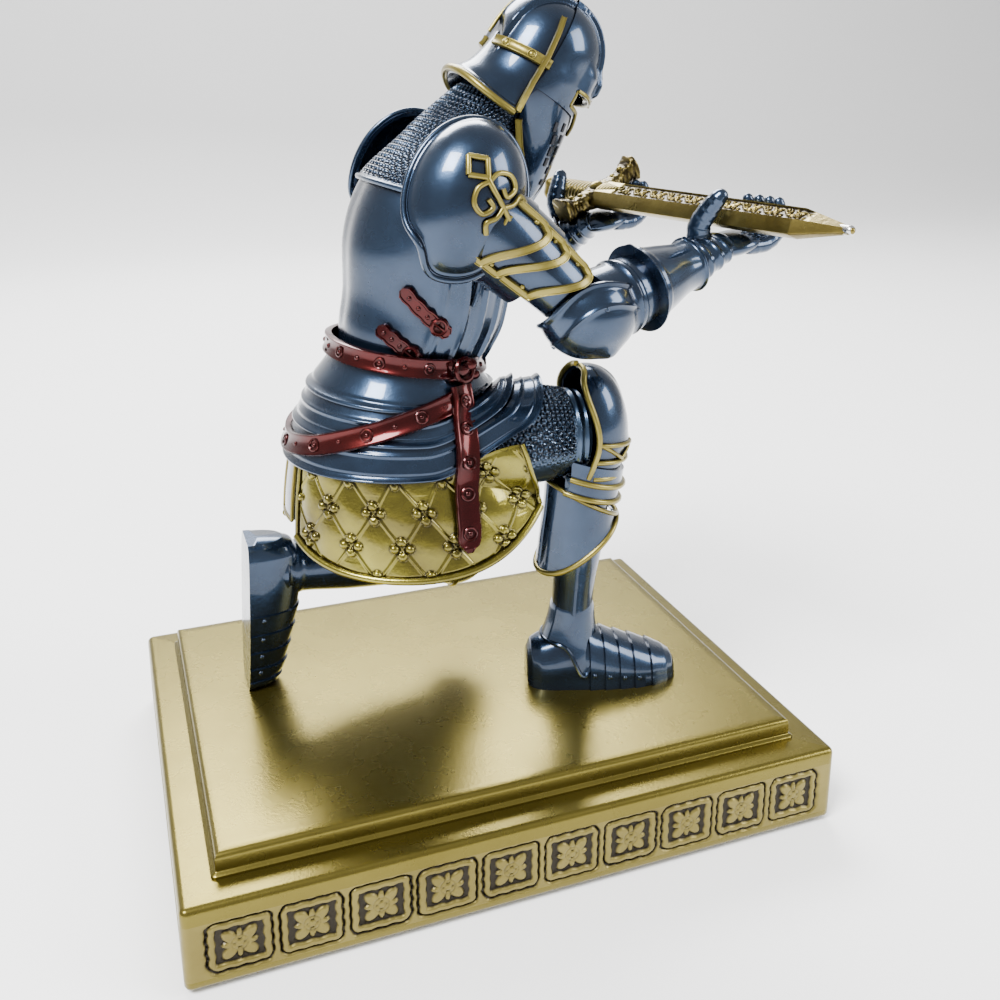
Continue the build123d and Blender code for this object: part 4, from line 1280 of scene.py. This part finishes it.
def build_helmet_bands():
    """Gold bands, the rim of the skull and the edges of the visor."""
    gold = Pile()
    for sgn in (-1, 1):
        hu = np.linspace(13.4, -10.4, 50)
        f = np.interp(-hu, [-13.4, -4.0, 10.4], [-3.5, -3.0, -3.8])
        middle = np.interp(-hu, -np.array(SKULL_U), [row[0] for row in SKULL_ROWS])
        half = np.interp(-hu, -np.array(SKULL_U), [row[2] for row in SKULL_ROWS])
        ang = np.degrees(np.arccos(np.clip((f - middle) / half, -1, 1)))
        p, n = SKULL.spot(sgn * ang, skull_v(hu))
        gold.strap(p + n * 0.5, n, 1.35, 0.75)
        hu = np.linspace(2.4, 2.6, 40)
        ang = np.linspace(163, 97, 40)
        p, n = SKULL.spot(sgn * ang, skull_v(hu))
        gold.strap(p + n * 0.4, n, 2.5, 0.7)
        for k in (10, 27):
            gold.stud(p[k] + n[k] * 1.05, n[k], 0.85)
            gold.ring(p[k] + n[k] * 1.1, n[k], 1.0, 0.2)
        hu = np.linspace(-10.6, -23.6, 50)
        p, n = VISOR.spot(sgn * visor_reach(hu), visor_v(hu))
        gold.strap(smooth_path(p + n * 0.3, 5), n, 1.7, 0.8)
        for a0, h0, a1, h1, lift in SLIT_EDGES:
            q = np.linspace(0, 1, 16)
            hh = h0 + (h1 - h0) * q
            aa = a0 + (a1 - a0) * q
            gold.rope(
                VISOR.at(sgn * aa, visor_v(hh), 0.3 + (lift - 0.3) * smooth(58, 44, aa)), 0.5, seg=8
            )
    a = np.linspace(TEMPLE, 360 - TEMPLE, 80)
    tail = np.cos(np.radians(a - 180)) ** 2
    p, n = SKULL.spot(a, skull_v(-10.7 + 2.7 * tail))
    gold.rope(p + n * 0.2, 0.9, seg=10)
    hu = np.linspace(9.0, 2.2, 30)
    gold.rope(VISOR.at(0 * hu, visor_v(hu), 1.9 + 1.4 * smooth(10.5, 6.5, hu)), 0.55, seg=8)
    hu = np.linspace(4.0, 19.3, 60)
    gold.rope(SKULL.at(180 + 0 * hu, skull_v(hu), 1.3), 0.5, seg=8)
    gold.done("helmet_gold_bands", TRIM, nodes=["helmet_bands"], sharp=60)


# ---------------------------------------------------------------- arms
def dome(centre, radii, turn_y, pole, reach, out, wall, rows=44, cols=96):
    """Cap of an ellipsoid round a pole direction; reach gives its angle for each azimuth."""
    rot = np.array(Matrix.Rotation(math.radians(turn_y), 3, "Y"))
    pole = unit(pole)
    e1 = unit(vec(1, 0, 0) - pole * pole[0])
    e2 = np.cross(e1, pole) * -1
    if e2[2] < 0:
        e2 = -e2
    beta = np.linspace(0, 2 * np.pi, cols, endpoint=False)[None]
    w = np.linspace(0.0, 1, rows)[:, None]
    alpha = np.radians(reach(np.degrees(beta))) * w
    d = (
        np.cos(alpha)[..., None] * pole
        + np.sin(alpha)[..., None] * (np.cos(beta)[..., None] * e1 + np.sin(beta)[..., None] * e2)
    )

    def surface(grow):
        local = d @ rot
        p = centre + (local * radii) @ rot.T
        n = unit((local / np.asarray(radii)) @ rot.T)
        return p + n * np.asarray(grow)[..., None]

    return surface(out(beta, w)), surface(-wall + 0 * alpha)


# Radii along the upper arm and the forearm, against the share of the way.
ARM_RADII = [(0, 10.4), (0.2, 10.6), (0.4, 10.4), (0.6, 9.9), (0.8, 9.2), (1.0, 8.4)]
FOREARM_RADII = [
    (0.05, 9.4), (0.22, 9.0), (0.38, 8.8), (0.52, 8.2), (0.7, 6.9), (0.86, 5.6), (0.97, 5.2), (1.04, 5.5)
]
CAP_RADII = (12.6, 11.4, 17.3)
CAP_TURN = 20
# Arm plates: number, lower end at the back and at the tip, height over the arm, upper end.
ARM_PLATES = [(1, 0.27, 0.46, 0.9, 0.02), (2, 0.38, 0.61, 0.5, 0.10), (3, 0.60, 0.80, 0.15, 0.25)]
PLATE_START = 50
PLATE_SPAN = 76
BORDER_UP = 0.19


def cap_centre(side, sgn):
    """Centre of the ellipsoid of the shoulder cap."""
    return SHOULDER[side] + vec(0.6 if side == "right" else 4.0, sgn * 2.3, 0.4)


def build_shoulder_cap(side, sgn):
    """Shoulder cap, cut in at its lower rear edge."""
    def reach(b):
        angle = 84 + 6 * np.cos(np.radians(b - 90)) - 14 * bell(wrapped(b - 210), 20)
        return angle + 5 * bell(wrapped(b - 235), 14) - 10 * bell(wrapped(b - 320), 40)

    def edge(b, w):
        return 0.75 * bell(w - 0.985, 0.02) + 0.35 * bell(w - 0.9, 0.012) + 0 * b

    outer, inner = dome(cap_centre(side, sgn), CAP_RADII, CAP_TURN, (0.0, sgn, 0.18), reach, edge, 1.2)
    cap = Pile()
    cap.shell(outer, inner, wrap=True)
    cap.rope(outer[-1], 0.75, closed=True, seg=10)
    cap.done(f"{side}_shoulder_cap", BLUE, nodes=[f"{side}_pauldron"])


def build_arm_plates(side, sgn):
    """Three overlapping plates with gold borders, and the gold ornament over them."""
    axis = unit(ELBOW[side] - SHOULDER[side])
    arm = limb(SHOULDER[side], ELBOW[side], [(t, a, a) for t, a in ARM_RADII])
    outward = -90 * sgn
    gold = Pile()
    w = np.linspace(0, 1, 26)[:, None]
    q = np.linspace(0, 1, 60)[None]
    peak = 1.3 * (1 - np.abs(q - 0.5) * 2)
    for index, v_back, v_tip, grow, v_top in ARM_PLATES:
        ang = outward - (PLATE_START - PLATE_SPAN * q) * sgn
        low = v_back + (v_tip - v_back) * smooth(0.0, 0.85, q) - 0.05 * smooth(0.9, 1.0, q)
        v = v_top + (low - v_top) * w
        u = np.broadcast_to(ang, v.shape)
        pile = Pile()
        pile.shell(arm.at(u, v, grow + peak * w), arm.at(u, v, grow - 1.2 + 0 * v))
        others = outward - (PLATE_START + (360 - PLATE_SPAN) * np.linspace(0, 1, 70)[None]) * sgn
        vv = v_top + (v_back - 0.02 - v_top) * w + 0 * others
        others = others + 0 * vv
        pile.shell(arm.at(others, vv, grow - 0.3 + 0 * vv), arm.at(others, vv, grow - 1.3 + 0 * vv))
        pile.done(f"{side}_arm_plate_{index}", BLUE, nodes=[f"{side}_arm_lame_{index}"])
        border_u = np.concatenate([np.full(12, ang[0, 0]), ang[0], np.full(16, ang[0, -1])])
        first = np.linspace(low[0, 0] - BORDER_UP, low[0, 0], 12, endpoint=False)
        last = np.linspace(low[0, -1], low[0, -1] - BORDER_UP, 16)
        p, n = arm.spot(border_u, np.concatenate([first, low[0], last]))
        bump = np.concatenate([np.zeros(12), peak[0], np.zeros(16)])
        gold.strap(smooth_path(p + n * (grow + bump)[:, None], 3), n, 1.7, 0.75)
        for k in (16, 68):
            gold.stud(p[k] + n[k] * (grow + 0.5) - axis * 2.6, n[k], 0.6)
    build_emblem(gold, cap_centre(side, sgn), sgn)
    gold.done(f"{side}_arm_gold", TRIM, sharp=60)


def build_elbow(side, sgn):
    """Ridged cop under the elbow."""
    elbow = ELBOW[side]

    def reach(b):
        return 97 + 5 * np.cos(np.radians(3 * b + 40))

    def ridges(b, w):
        return 0.6 * bell(w - 0.98, 0.02) + 0.5 * bell(w - 0.72, 0.02) + 0.9 * bell(w, 0.12) + 0 * b

    pile = Pile()
    outer, inner = dome(elbow, (11.2, 10.6, 10.6), 0, vec(0.25, sgn * 0.55, -0.8), reach, ridges, 1.2)
    pile.shell(outer, inner, wrap=True)
    pile.rope(outer[-1], 0.6, closed=True, seg=9)
    for b in (10, 26, 58, 74):
        p = outer[30, b]
        pile.stud(p, unit(p - elbow), 0.6)
    pile.done(f"{side}_elbow_cop", BLUE, nodes=[f"{side}_couter"])


def build_forearm(side):
    """Ring at the elbow and the flared cuff."""
    fore = limb(ELBOW[side], WRIST[side], [(t, a, a) for t, a in FOREARM_RADII], (0, 0, 1))
    u, v = around(73, 0, 0.42, 26)
    ring = Pile()
    out = 0.55 * bell(v - 0.2, 0.015) + 0.35 * bell(v - 0.24, 0.01) - 0.5
    ring.shell(fore.at(u, v, out), fore.at(u, v, -1.8 + 0 * v), wrap=True)
    ring.done(f"{side}_elbow_ring", BLUE)
    u, v = around(97, 0.38, 1.0, 60)
    out = (
        0.7 + 1.3 * bell(v - 0.385, 0.03) + 0.3 * bell(v - 0.46, 0.012) + 0.55 * bell(v - 0.97, 0.025)
        + 0.4 * bell(wrapped(u), 6)
    )
    cuff = Pile()
    cuff.shell(fore.at(u, v, out), fore.at(u, v, -0.7 + 0 * v), wrap=True)
    cuff.done(f"{side}_gauntlet_cuff_shell", BLUE, nodes=[f"{side}_gauntlet_cuff"])


def build_emblem(gold, cap_c, sgn):
    """Raised generic scroll ornament on the shoulder cap: a lozenge over two pairs of curls."""
    rot = np.array(Matrix.Rotation(math.radians(CAP_TURN), 3, "Y"))
    radii = vec(*CAP_RADII)
    lean = math.radians(28)
    size = 0.94

    def place(x, y):
        """Chart on the cap: x forward and y up, in millimetres from the ornament's middle."""
        a = (size * (x * math.cos(lean) - y * math.sin(lean)) + 2.5) / radii[0]
        b = (size * (x * math.sin(lean) + y * math.cos(lean)) + 1.3) / radii[2]
        d = vec(a, 0, b)
        left = max(1e-3, 1 - a * a - b * b)
        d[1] = sgn * math.sqrt(left)
        local = d @ rot
        p = cap_c + (local / np.linalg.norm(local) * radii) @ rot.T
        n = unit((local / radii) @ rot.T)
        return p + n * 0.45

    def stroke(points, r):
        t = np.linspace(0, len(points) - 1, 8 * (len(points) - 1))
        flat = catmull(np.array(points, float), t)
        gold.rope([place(*q) for q in flat], r, seg=9)

    lozenge = [(-2.2, 8.0), (-0.2, 11.4), (2.6, 8.6), (0.8, 5.0), (-2.2, 8.0)]
    for a, b in zip(lozenge[:-1], lozenge[1:]):
        stroke([a, ((a[0] + b[0]) / 2, (a[1] + b[1]) / 2), b], 0.62)
    for m in (-1, 1):
        stroke(
            [
                (0.6, 4.2), (m * 2.6 + 0.6, 4.4), (m * 4.6 + 0.6, 2.0), (m * 4.2 + 0.6, -1.2),
                (m * 1.8 + 0.6, -1.4), (m * 1.8 + 0.6, 0.9)
            ],
            0.58
        )
        stroke([(0.8, -3.0), (m * 2.2 + 0.8, -4.0), (m * 4.4 + 0.8, -3.6), (m * 5.4 + 0.8, -6.0)], 0.6)
        stroke([(0.8, -5.6), (m * 1.8 + 0.8, -7.2), (m * 3.2 + 0.8, -8.4)], 0.5)
    stroke([(0.6, 5.0), (0.6, 1.0), (0.8, -3.0), (0.9, -6.0), (0.9, -8.0)], 0.62)


def build_hand(side):
    """Plated glove, palm up: fingers curl up ahead of the blade and the thumb stands behind it."""
    s = {"right": 17.5, "left": -31.5}[side]
    thumb_back = {"right": 2.5, "left": 9.5}[side]
    centre = SWORD_MID + TIPWARD * s

    def spot(x, y, z):
        return centre + AHEAD * x - TIPWARD * y + UP * z

    pile = Pile()
    palm_axes = np.stack([unit(AHEAD * 0.985 + UP * 0.17), -TIPWARD, unit(UP * 0.985 - AHEAD * 0.17)])
    pile.ball(spot(-0.5, 0, -7.0), (8.6, 6.9, 2.7), axes=palm_axes, rows=22, cols=36)
    pile.ball(spot(-5.2, thumb_back * 0.35, -7.6), (4.6, 5.4, 3.4), axes=palm_axes, rows=18, cols=28)
    for i in range(4):
        y = -5.1 + 3.35 * i
        reach = (0.0, 0.7, 0.8, 0.2)[i]
        joints = [
            spot(1.0, y * 0.9, -7.4), spot(6.2 + reach * 0.4, y, -7.0), spot(9.8 + reach, y, -4.6),
            spot(10.6 + reach, y, -0.8), spot(9.7 + reach * 0.5, y, 2.6)
        ]
        pile.finger(joints, [1.9, 1.85, 1.75, 1.6, 1.35])
        for k in (1, 2, 3):
            pile.ball(joints[k], (1.9, 1.9, 1.9), rows=10, cols=14)
    y = thumb_back
    tip = -3.6 if side == "right" else 0.4
    thumb = [
        spot(-4.5, y * 0.5, -8.2), spot(-8.2, y * 0.8, -6.0), spot(-9.0, y + tip * 0.2, -2.4),
        spot(-8.3, y + tip * 0.8, 1.6), spot(-7.4, y + tip * 1.5, 4.8)
    ]
    pile.finger(thumb, [2.9, 3.0, 2.7, 2.4, 1.9])
    rows = ((-0.12, 5.2, 5.6), (0.25, 4.9, 5.4), (0.6, 4.2, 5.8), (0.9, 3.4, 6.0), (1.15, 2.4, 5.0))
    link = limb(WRIST[side], spot(-4.5, 0, -7.6), rows, (0, 0, 1))
    u, v = around(49, 0, 1, 50)
    out = 0.35 * np.abs(np.sin(v * 15)) ** 6
    pile.solid(link.at(u, v, out))
    pile.done(f"{side}_plated_glove", BLUE, nodes=[f"{side}_gauntlet"], sharp=60)


# ---------------------------------------------------------------- sword pen
ROLL = math.radians(24.0)
FLAT = unit(AHEAD * math.cos(ROLL) + UP * math.sin(ROLL))
FACE_UP = unit(np.cross(TIPWARD, FLAT))
if FACE_UP[2] < 0:
    FACE_UP = -FACE_UP
S_MID = 18.5
GUARD_CURVE = 0.011
BEAD_AXES = np.stack([TIPWARD, FACE_UP, FLAT])
KNOB_AXES = np.stack([FLAT, FACE_UP, TIPWARD])


def on_sword(s, x=0.0, y=0.0):
    """Point at distance s along the sword, x across the flat and y out of its upper face."""
    s, x, y = np.broadcast_arrays(np.asarray(s, float), np.asarray(x, float), np.asarray(y, float))
    return SWORD_MID + TIPWARD * (s + S_MID)[..., None] + FLAT * x[..., None] + FACE_UP * y[..., None]


def vine(s, x):
    """Raised running scroll, 0 to 1, down the middle of the blade's face."""
    wave = 1.05 * np.sin(2 * np.pi * s / 6.5)
    stem = bell(x - wave, 0.34)
    curl_s = (s / 3.25 + 0.5) % 1.0 - 0.5
    flip = np.where(np.floor(s / 3.25 + 0.5) % 2 == 0, 1.0, -1.0)
    d = np.hypot(curl_s * 3.25 - 0.3, x + flip * 0.55)
    curl = bell(d - 0.75, 0.2)
    leaf = bell(np.hypot(curl_s * 3.25 + 0.9, (x - flip * 1.2)), 0.45)
    return np.clip(np.maximum(np.maximum(stem, curl), leaf), 0, 1)


def build_blade():
    """Blade whose upper face carries the cut scroll; the section turns once round from its left edge."""
    s0, s1, s2 = -49.5, 20.0, 33.6
    s = np.concatenate([np.linspace(s0, s1, 420), np.linspace(s1, s2, 60)[1:]])
    wide = np.interp(s, [s0, s0 + 3, s1, s2], [5.5, 5.25, 4.75, 0.7])
    thick = np.interp(s, [s0, s1, s2], [2.8, 2.6, 0.7])
    columns, relief = [], []
    flat = 0.52
    m = 30
    for k in range(m + 1):
        x = (-1 + 2 * k / m) * flat * wide
        field = smooth(
            1.0, 0.86, np.abs(-1 + 2 * k / m)
        ) * smooth(s0 + 6, s0 + 8, s) * smooth(s1 + 4, s1 + 1, s)
        h = vine(s, x / np.maximum(wide, 1) * 4.6)
        columns.append(on_sword(s, x, thick - 0.5 * field * (1 - h)))
        relief.append(field * (1 - h))
    edge = [(1.0, 0.28), (1.02, 0.0), (1.0, -0.28)]
    columns += [on_sword(s, x * wide, y * thick * 0.4) for x, y in edge]
    columns += [on_sword(s, -q * flat * wide, -thick) for q in np.linspace(-1, 1, 9)]
    columns += [on_sword(s, -x * wide, -y * thick * 0.4) for x, y in edge]
    relief += [0 * s] * 15
    pile = Pile()
    pile.solid(np.stack(columns, 1), relief=np.stack(relief, 1))
    pile.ball(on_sword(s2 - 0.2), (0.85, 0.85, 0.85), rows=12, cols=16)
    pile.done("sword_blade_body", BRASS, body="sword_pen", nodes=["sword_blade"], sharp=28)


def build_guard():
    """Cross guard, thick at its ends, with a beaded crest towards the blade."""
    guard = Pile()
    g = -52.0
    x = np.linspace(-13.2, 13.2, 90)
    half_s = np.interp(np.abs(x), [0, 4, 7.5, 10, 12.6, 13.2], [3.4, 2.7, 2.1, 2.6, 3.4, 3.2])
    half_y = np.interp(np.abs(x), [0, 4, 7.5, 10, 12.6, 13.2], [3.0, 2.6, 2.1, 2.5, 3.5, 3.3])
    turn = np.linspace(0, 2 * np.pi, 40, endpoint=False)
    c, sn = np.cos(turn), np.sin(turn)
    across_s = half_s[:, None] * (np.sign(c) * np.abs(c) ** 0.6)[None]
    across_y = half_y[:, None] * (np.sign(sn) * np.abs(sn) ** 0.6)[None]
    bumps = (
        1 + 0.05 * np.sin(x * 1.9)[:, None] * np.sin(3 * turn)[None]
        + 0.04 * np.sin(x * 5.3 + 1)[:, None] * np.cos(5 * turn)[None]
    )
    curve = GUARD_CURVE * x[:, None] ** 2
    body = on_sword(g + across_s * bumps, x[:, None] + 0 * turn[None], curve + across_y * bumps)
    guard.solid(body, relief=np.clip(0.9 - 4.5 * (bumps - 0.96), 0, 0.8))
    for q in np.linspace(0, 1, 7):
        guard.ball(
            on_sword(g + 2.5 + 6.5 * q, 0.0, 2.3), (1.0 - 0.4 * q, 0.9, 1.9 * (1 - q) + 0.9),
            axes=BEAD_AXES, rows=10, cols=14
        )
    for xx in (-9.0, -6.0, -3.0, 3.0, 6.0, 9.0):
        guard.ball(
            on_sword(g, xx, 1.9 + 0.25 * (abs(xx) > 8) + GUARD_CURVE * xx**2), (1.0, 1.0, 1.0), rows=8,
            cols=12
        )
    guard.ball(on_sword(g, 0, 2.6), (2.0, 1.4, 2.0), axes=BEAD_AXES, rows=12, cols=18)
    guard.done("sword_guard_body", BRASS, body="sword_pen", nodes=["sword_guard"], sharp=50)


def build_grip():
    """Grip wound with wire."""
    grip = Pile()
    s = np.linspace(-67.3, -54.0, 130)
    turn = np.linspace(0, 2 * np.pi, 48, endpoint=False)
    wire = 1 + 0.09 * np.abs(np.sin(s[:, None] * 2.2 + turn[None] * 0.5)) ** 2
    grip.solid(
        on_sword(
            s[:, None] + 0 * turn[None], 3.35 * np.cos(turn)[None] * wire,
            2.85 * np.sin(turn)[None] * wire
        ),
        relief=np.clip((1.06 - wire) * 12, 0, 0.8)
    )
    grip.done("sword_grip_body", BRASS, body="sword_pen", nodes=["sword_grip"], sharp=60)


def build_pommel():
    """Lobed knob with a button."""
    knob = Pile()

    def lobes(d):
        petals = np.cos(6 * np.arctan2(d[..., 1], d[..., 0])) * (1 - d[..., 2] ** 2)
        return 1 + 0.07 * petals + 0.05 * bell(d[..., 2], 0.15)

    knob.ball(on_sword(-71.3), (4.2, 4.2, 3.4), axes=KNOB_AXES, bump=lobes, rows=30, cols=60)
    knob.ball(on_sword(-74.4), (1.9, 1.9, 1.3), axes=KNOB_AXES, rows=12, cols=18)
    knob.done("pommel_knob", BRASS, body="pommel", nodes=["pommel_plug"], sharp=60)


# ---------------------------------------------------------------- build
build_plinth()
build_feet()
build_right_leg()
build_left_leg()
build_cuirass()
build_skirt()
build_tassets()
build_straps()
build_collar()
build_skull()
build_face_plates()
build_openings()
build_helmet_bands()
for which in ("right", "left"):
    outside = -1 if which == "right" else 1
    build_shoulder_cap(which, outside)
    build_arm_plates(which, outside)
    build_elbow(which, outside)
    build_forearm(which)
    build_hand(which)
build_blade()
build_guard()
build_grip()
build_pommel()

for node, material in (
    ("torso_core", BLUE), ("right_upper_arm", BLUE), ("left_upper_arm", BLUE), ("right_forearm", BLUE),
    ("left_forearm", BLUE), ("felt_underside", FELT), ("mounting_screws", STEEL), ("ink_refill", STEEL)
):
    mesh = frame["nodes"][node].data
    mesh.materials.clear()
    mesh.materials.append(material)


# ---------------------------------------------------------------- stage, light and camera
def flat_material(name, colour, rough):
    """Plain surface with a barely visible tint."""
    m, nodes, links, shader = new_material(name)
    coords = nodes.new("ShaderNodeTexCoord").outputs["Object"]
    tint = ramp(
        nodes, links, noise(nodes, links, coords, 3),
        [(0.3, colour), (0.7, tuple(c * 0.985 for c in colour))]
    )
    links.new(tint, shader.inputs["Base Color"])
    shader.inputs["Roughness"].default_value = rough
    return m


def build_stage():
    """Floor that curves up into a backdrop."""
    depth = [(-1.6, 0.0), (0.9, 0.0)]
    depth += [
        (0.9 + 0.7 * math.sin(a), 0.7 - 0.7 * math.cos(a)) for a in np.linspace(0.1, math.pi / 2, 14)
    ]
    depth.append((1.6, 2.6))
    verts = [(x, y, z - 0.0002) for y, z in depth for x in (-3.0, 3.0)]
    faces = [(2 * i, 2 * i + 1, 2 * i + 3, 2 * i + 2) for i in range(len(depth) - 1)]
    mesh = bpy.data.meshes.new("studio_floor")
    mesh.from_pydata(verts, [], faces)
    mesh.polygons.foreach_set("use_smooth", [True] * len(faces))
    mesh.materials.append(flat_material("pale_floor", (0.92, 0.92, 0.92), 0.8))
    floor = bpy.data.objects.new("studio_floor", mesh)
    bpy.context.scene.collection.objects.link(floor)


def area_light(name, place, target, size, power):
    """Rectangular lamp aimed at a target, in metres and watts."""
    data = bpy.data.lights.new(name, "AREA")
    data.shape = "RECTANGLE"
    data.size, data.size_y = size
    data.energy = power
    obj = bpy.data.objects.new(name, data)
    obj.location = place
    obj.rotation_mode = "QUATERNION"
    obj.rotation_quaternion = (Vector(target) - Vector(place)).to_track_quat("-Z", "Y")
    bpy.context.scene.collection.objects.link(obj)


def build_light():
    """Even white surroundings, three soft lamps and one for the backdrop."""
    world = bpy.data.worlds.new("studio")
    bpy.context.scene.world = world
    world.use_nodes = True
    background = world.node_tree.nodes["Background"]
    background.inputs["Color"].default_value = (1.0, 1.0, 1.0, 1)
    background.inputs["Strength"].default_value = 0.66
    middle = (0, 0, 0.11)
    area_light("key", (-0.5, -0.35, 0.85), middle, (0.35, 0.35), 27.0)
    area_light("fill", (0.75, -0.5, 0.5), middle, (0.4, 0.5), 9.0)
    area_light("wall", (0.3, 0.9, 1.5), (0.4, 1.6, 0.9), (1.6, 0.6), 10.0)
    area_light("back", (0.1, 0.7, 0.75), middle, (0.7, 0.4), 19.0)


CAMERA_AT = (-0.08005, -0.24203, 0.17861)
LOOK = (0.33556, 0.90685, -0.25500)
RIGHT = (0.93794, -0.34679, 0.00101)


def build_camera():
    """Camera at the view of the picture."""
    data = bpy.data.cameras.new("photo_view")
    data.sensor_width = 36
    data.lens = 36 * 1.06644
    data.shift_x = 0.0063
    data.shift_y = -0.1416
    data.clip_start, data.clip_end = 0.01, 20
    cam = bpy.data.objects.new("photo_view", data)
    look, right = Vector(LOOK).normalized(), Vector(RIGHT).normalized()
    up = right.cross(look).normalized()
    rows = Matrix((right, up, -look)).transposed().to_4x4()
    rows.translation = Vector(CAMERA_AT)
    cam.matrix_world = rows
    bpy.context.scene.collection.objects.link(cam)
    bpy.context.scene.camera = cam


build_stage()
build_light()
build_camera()
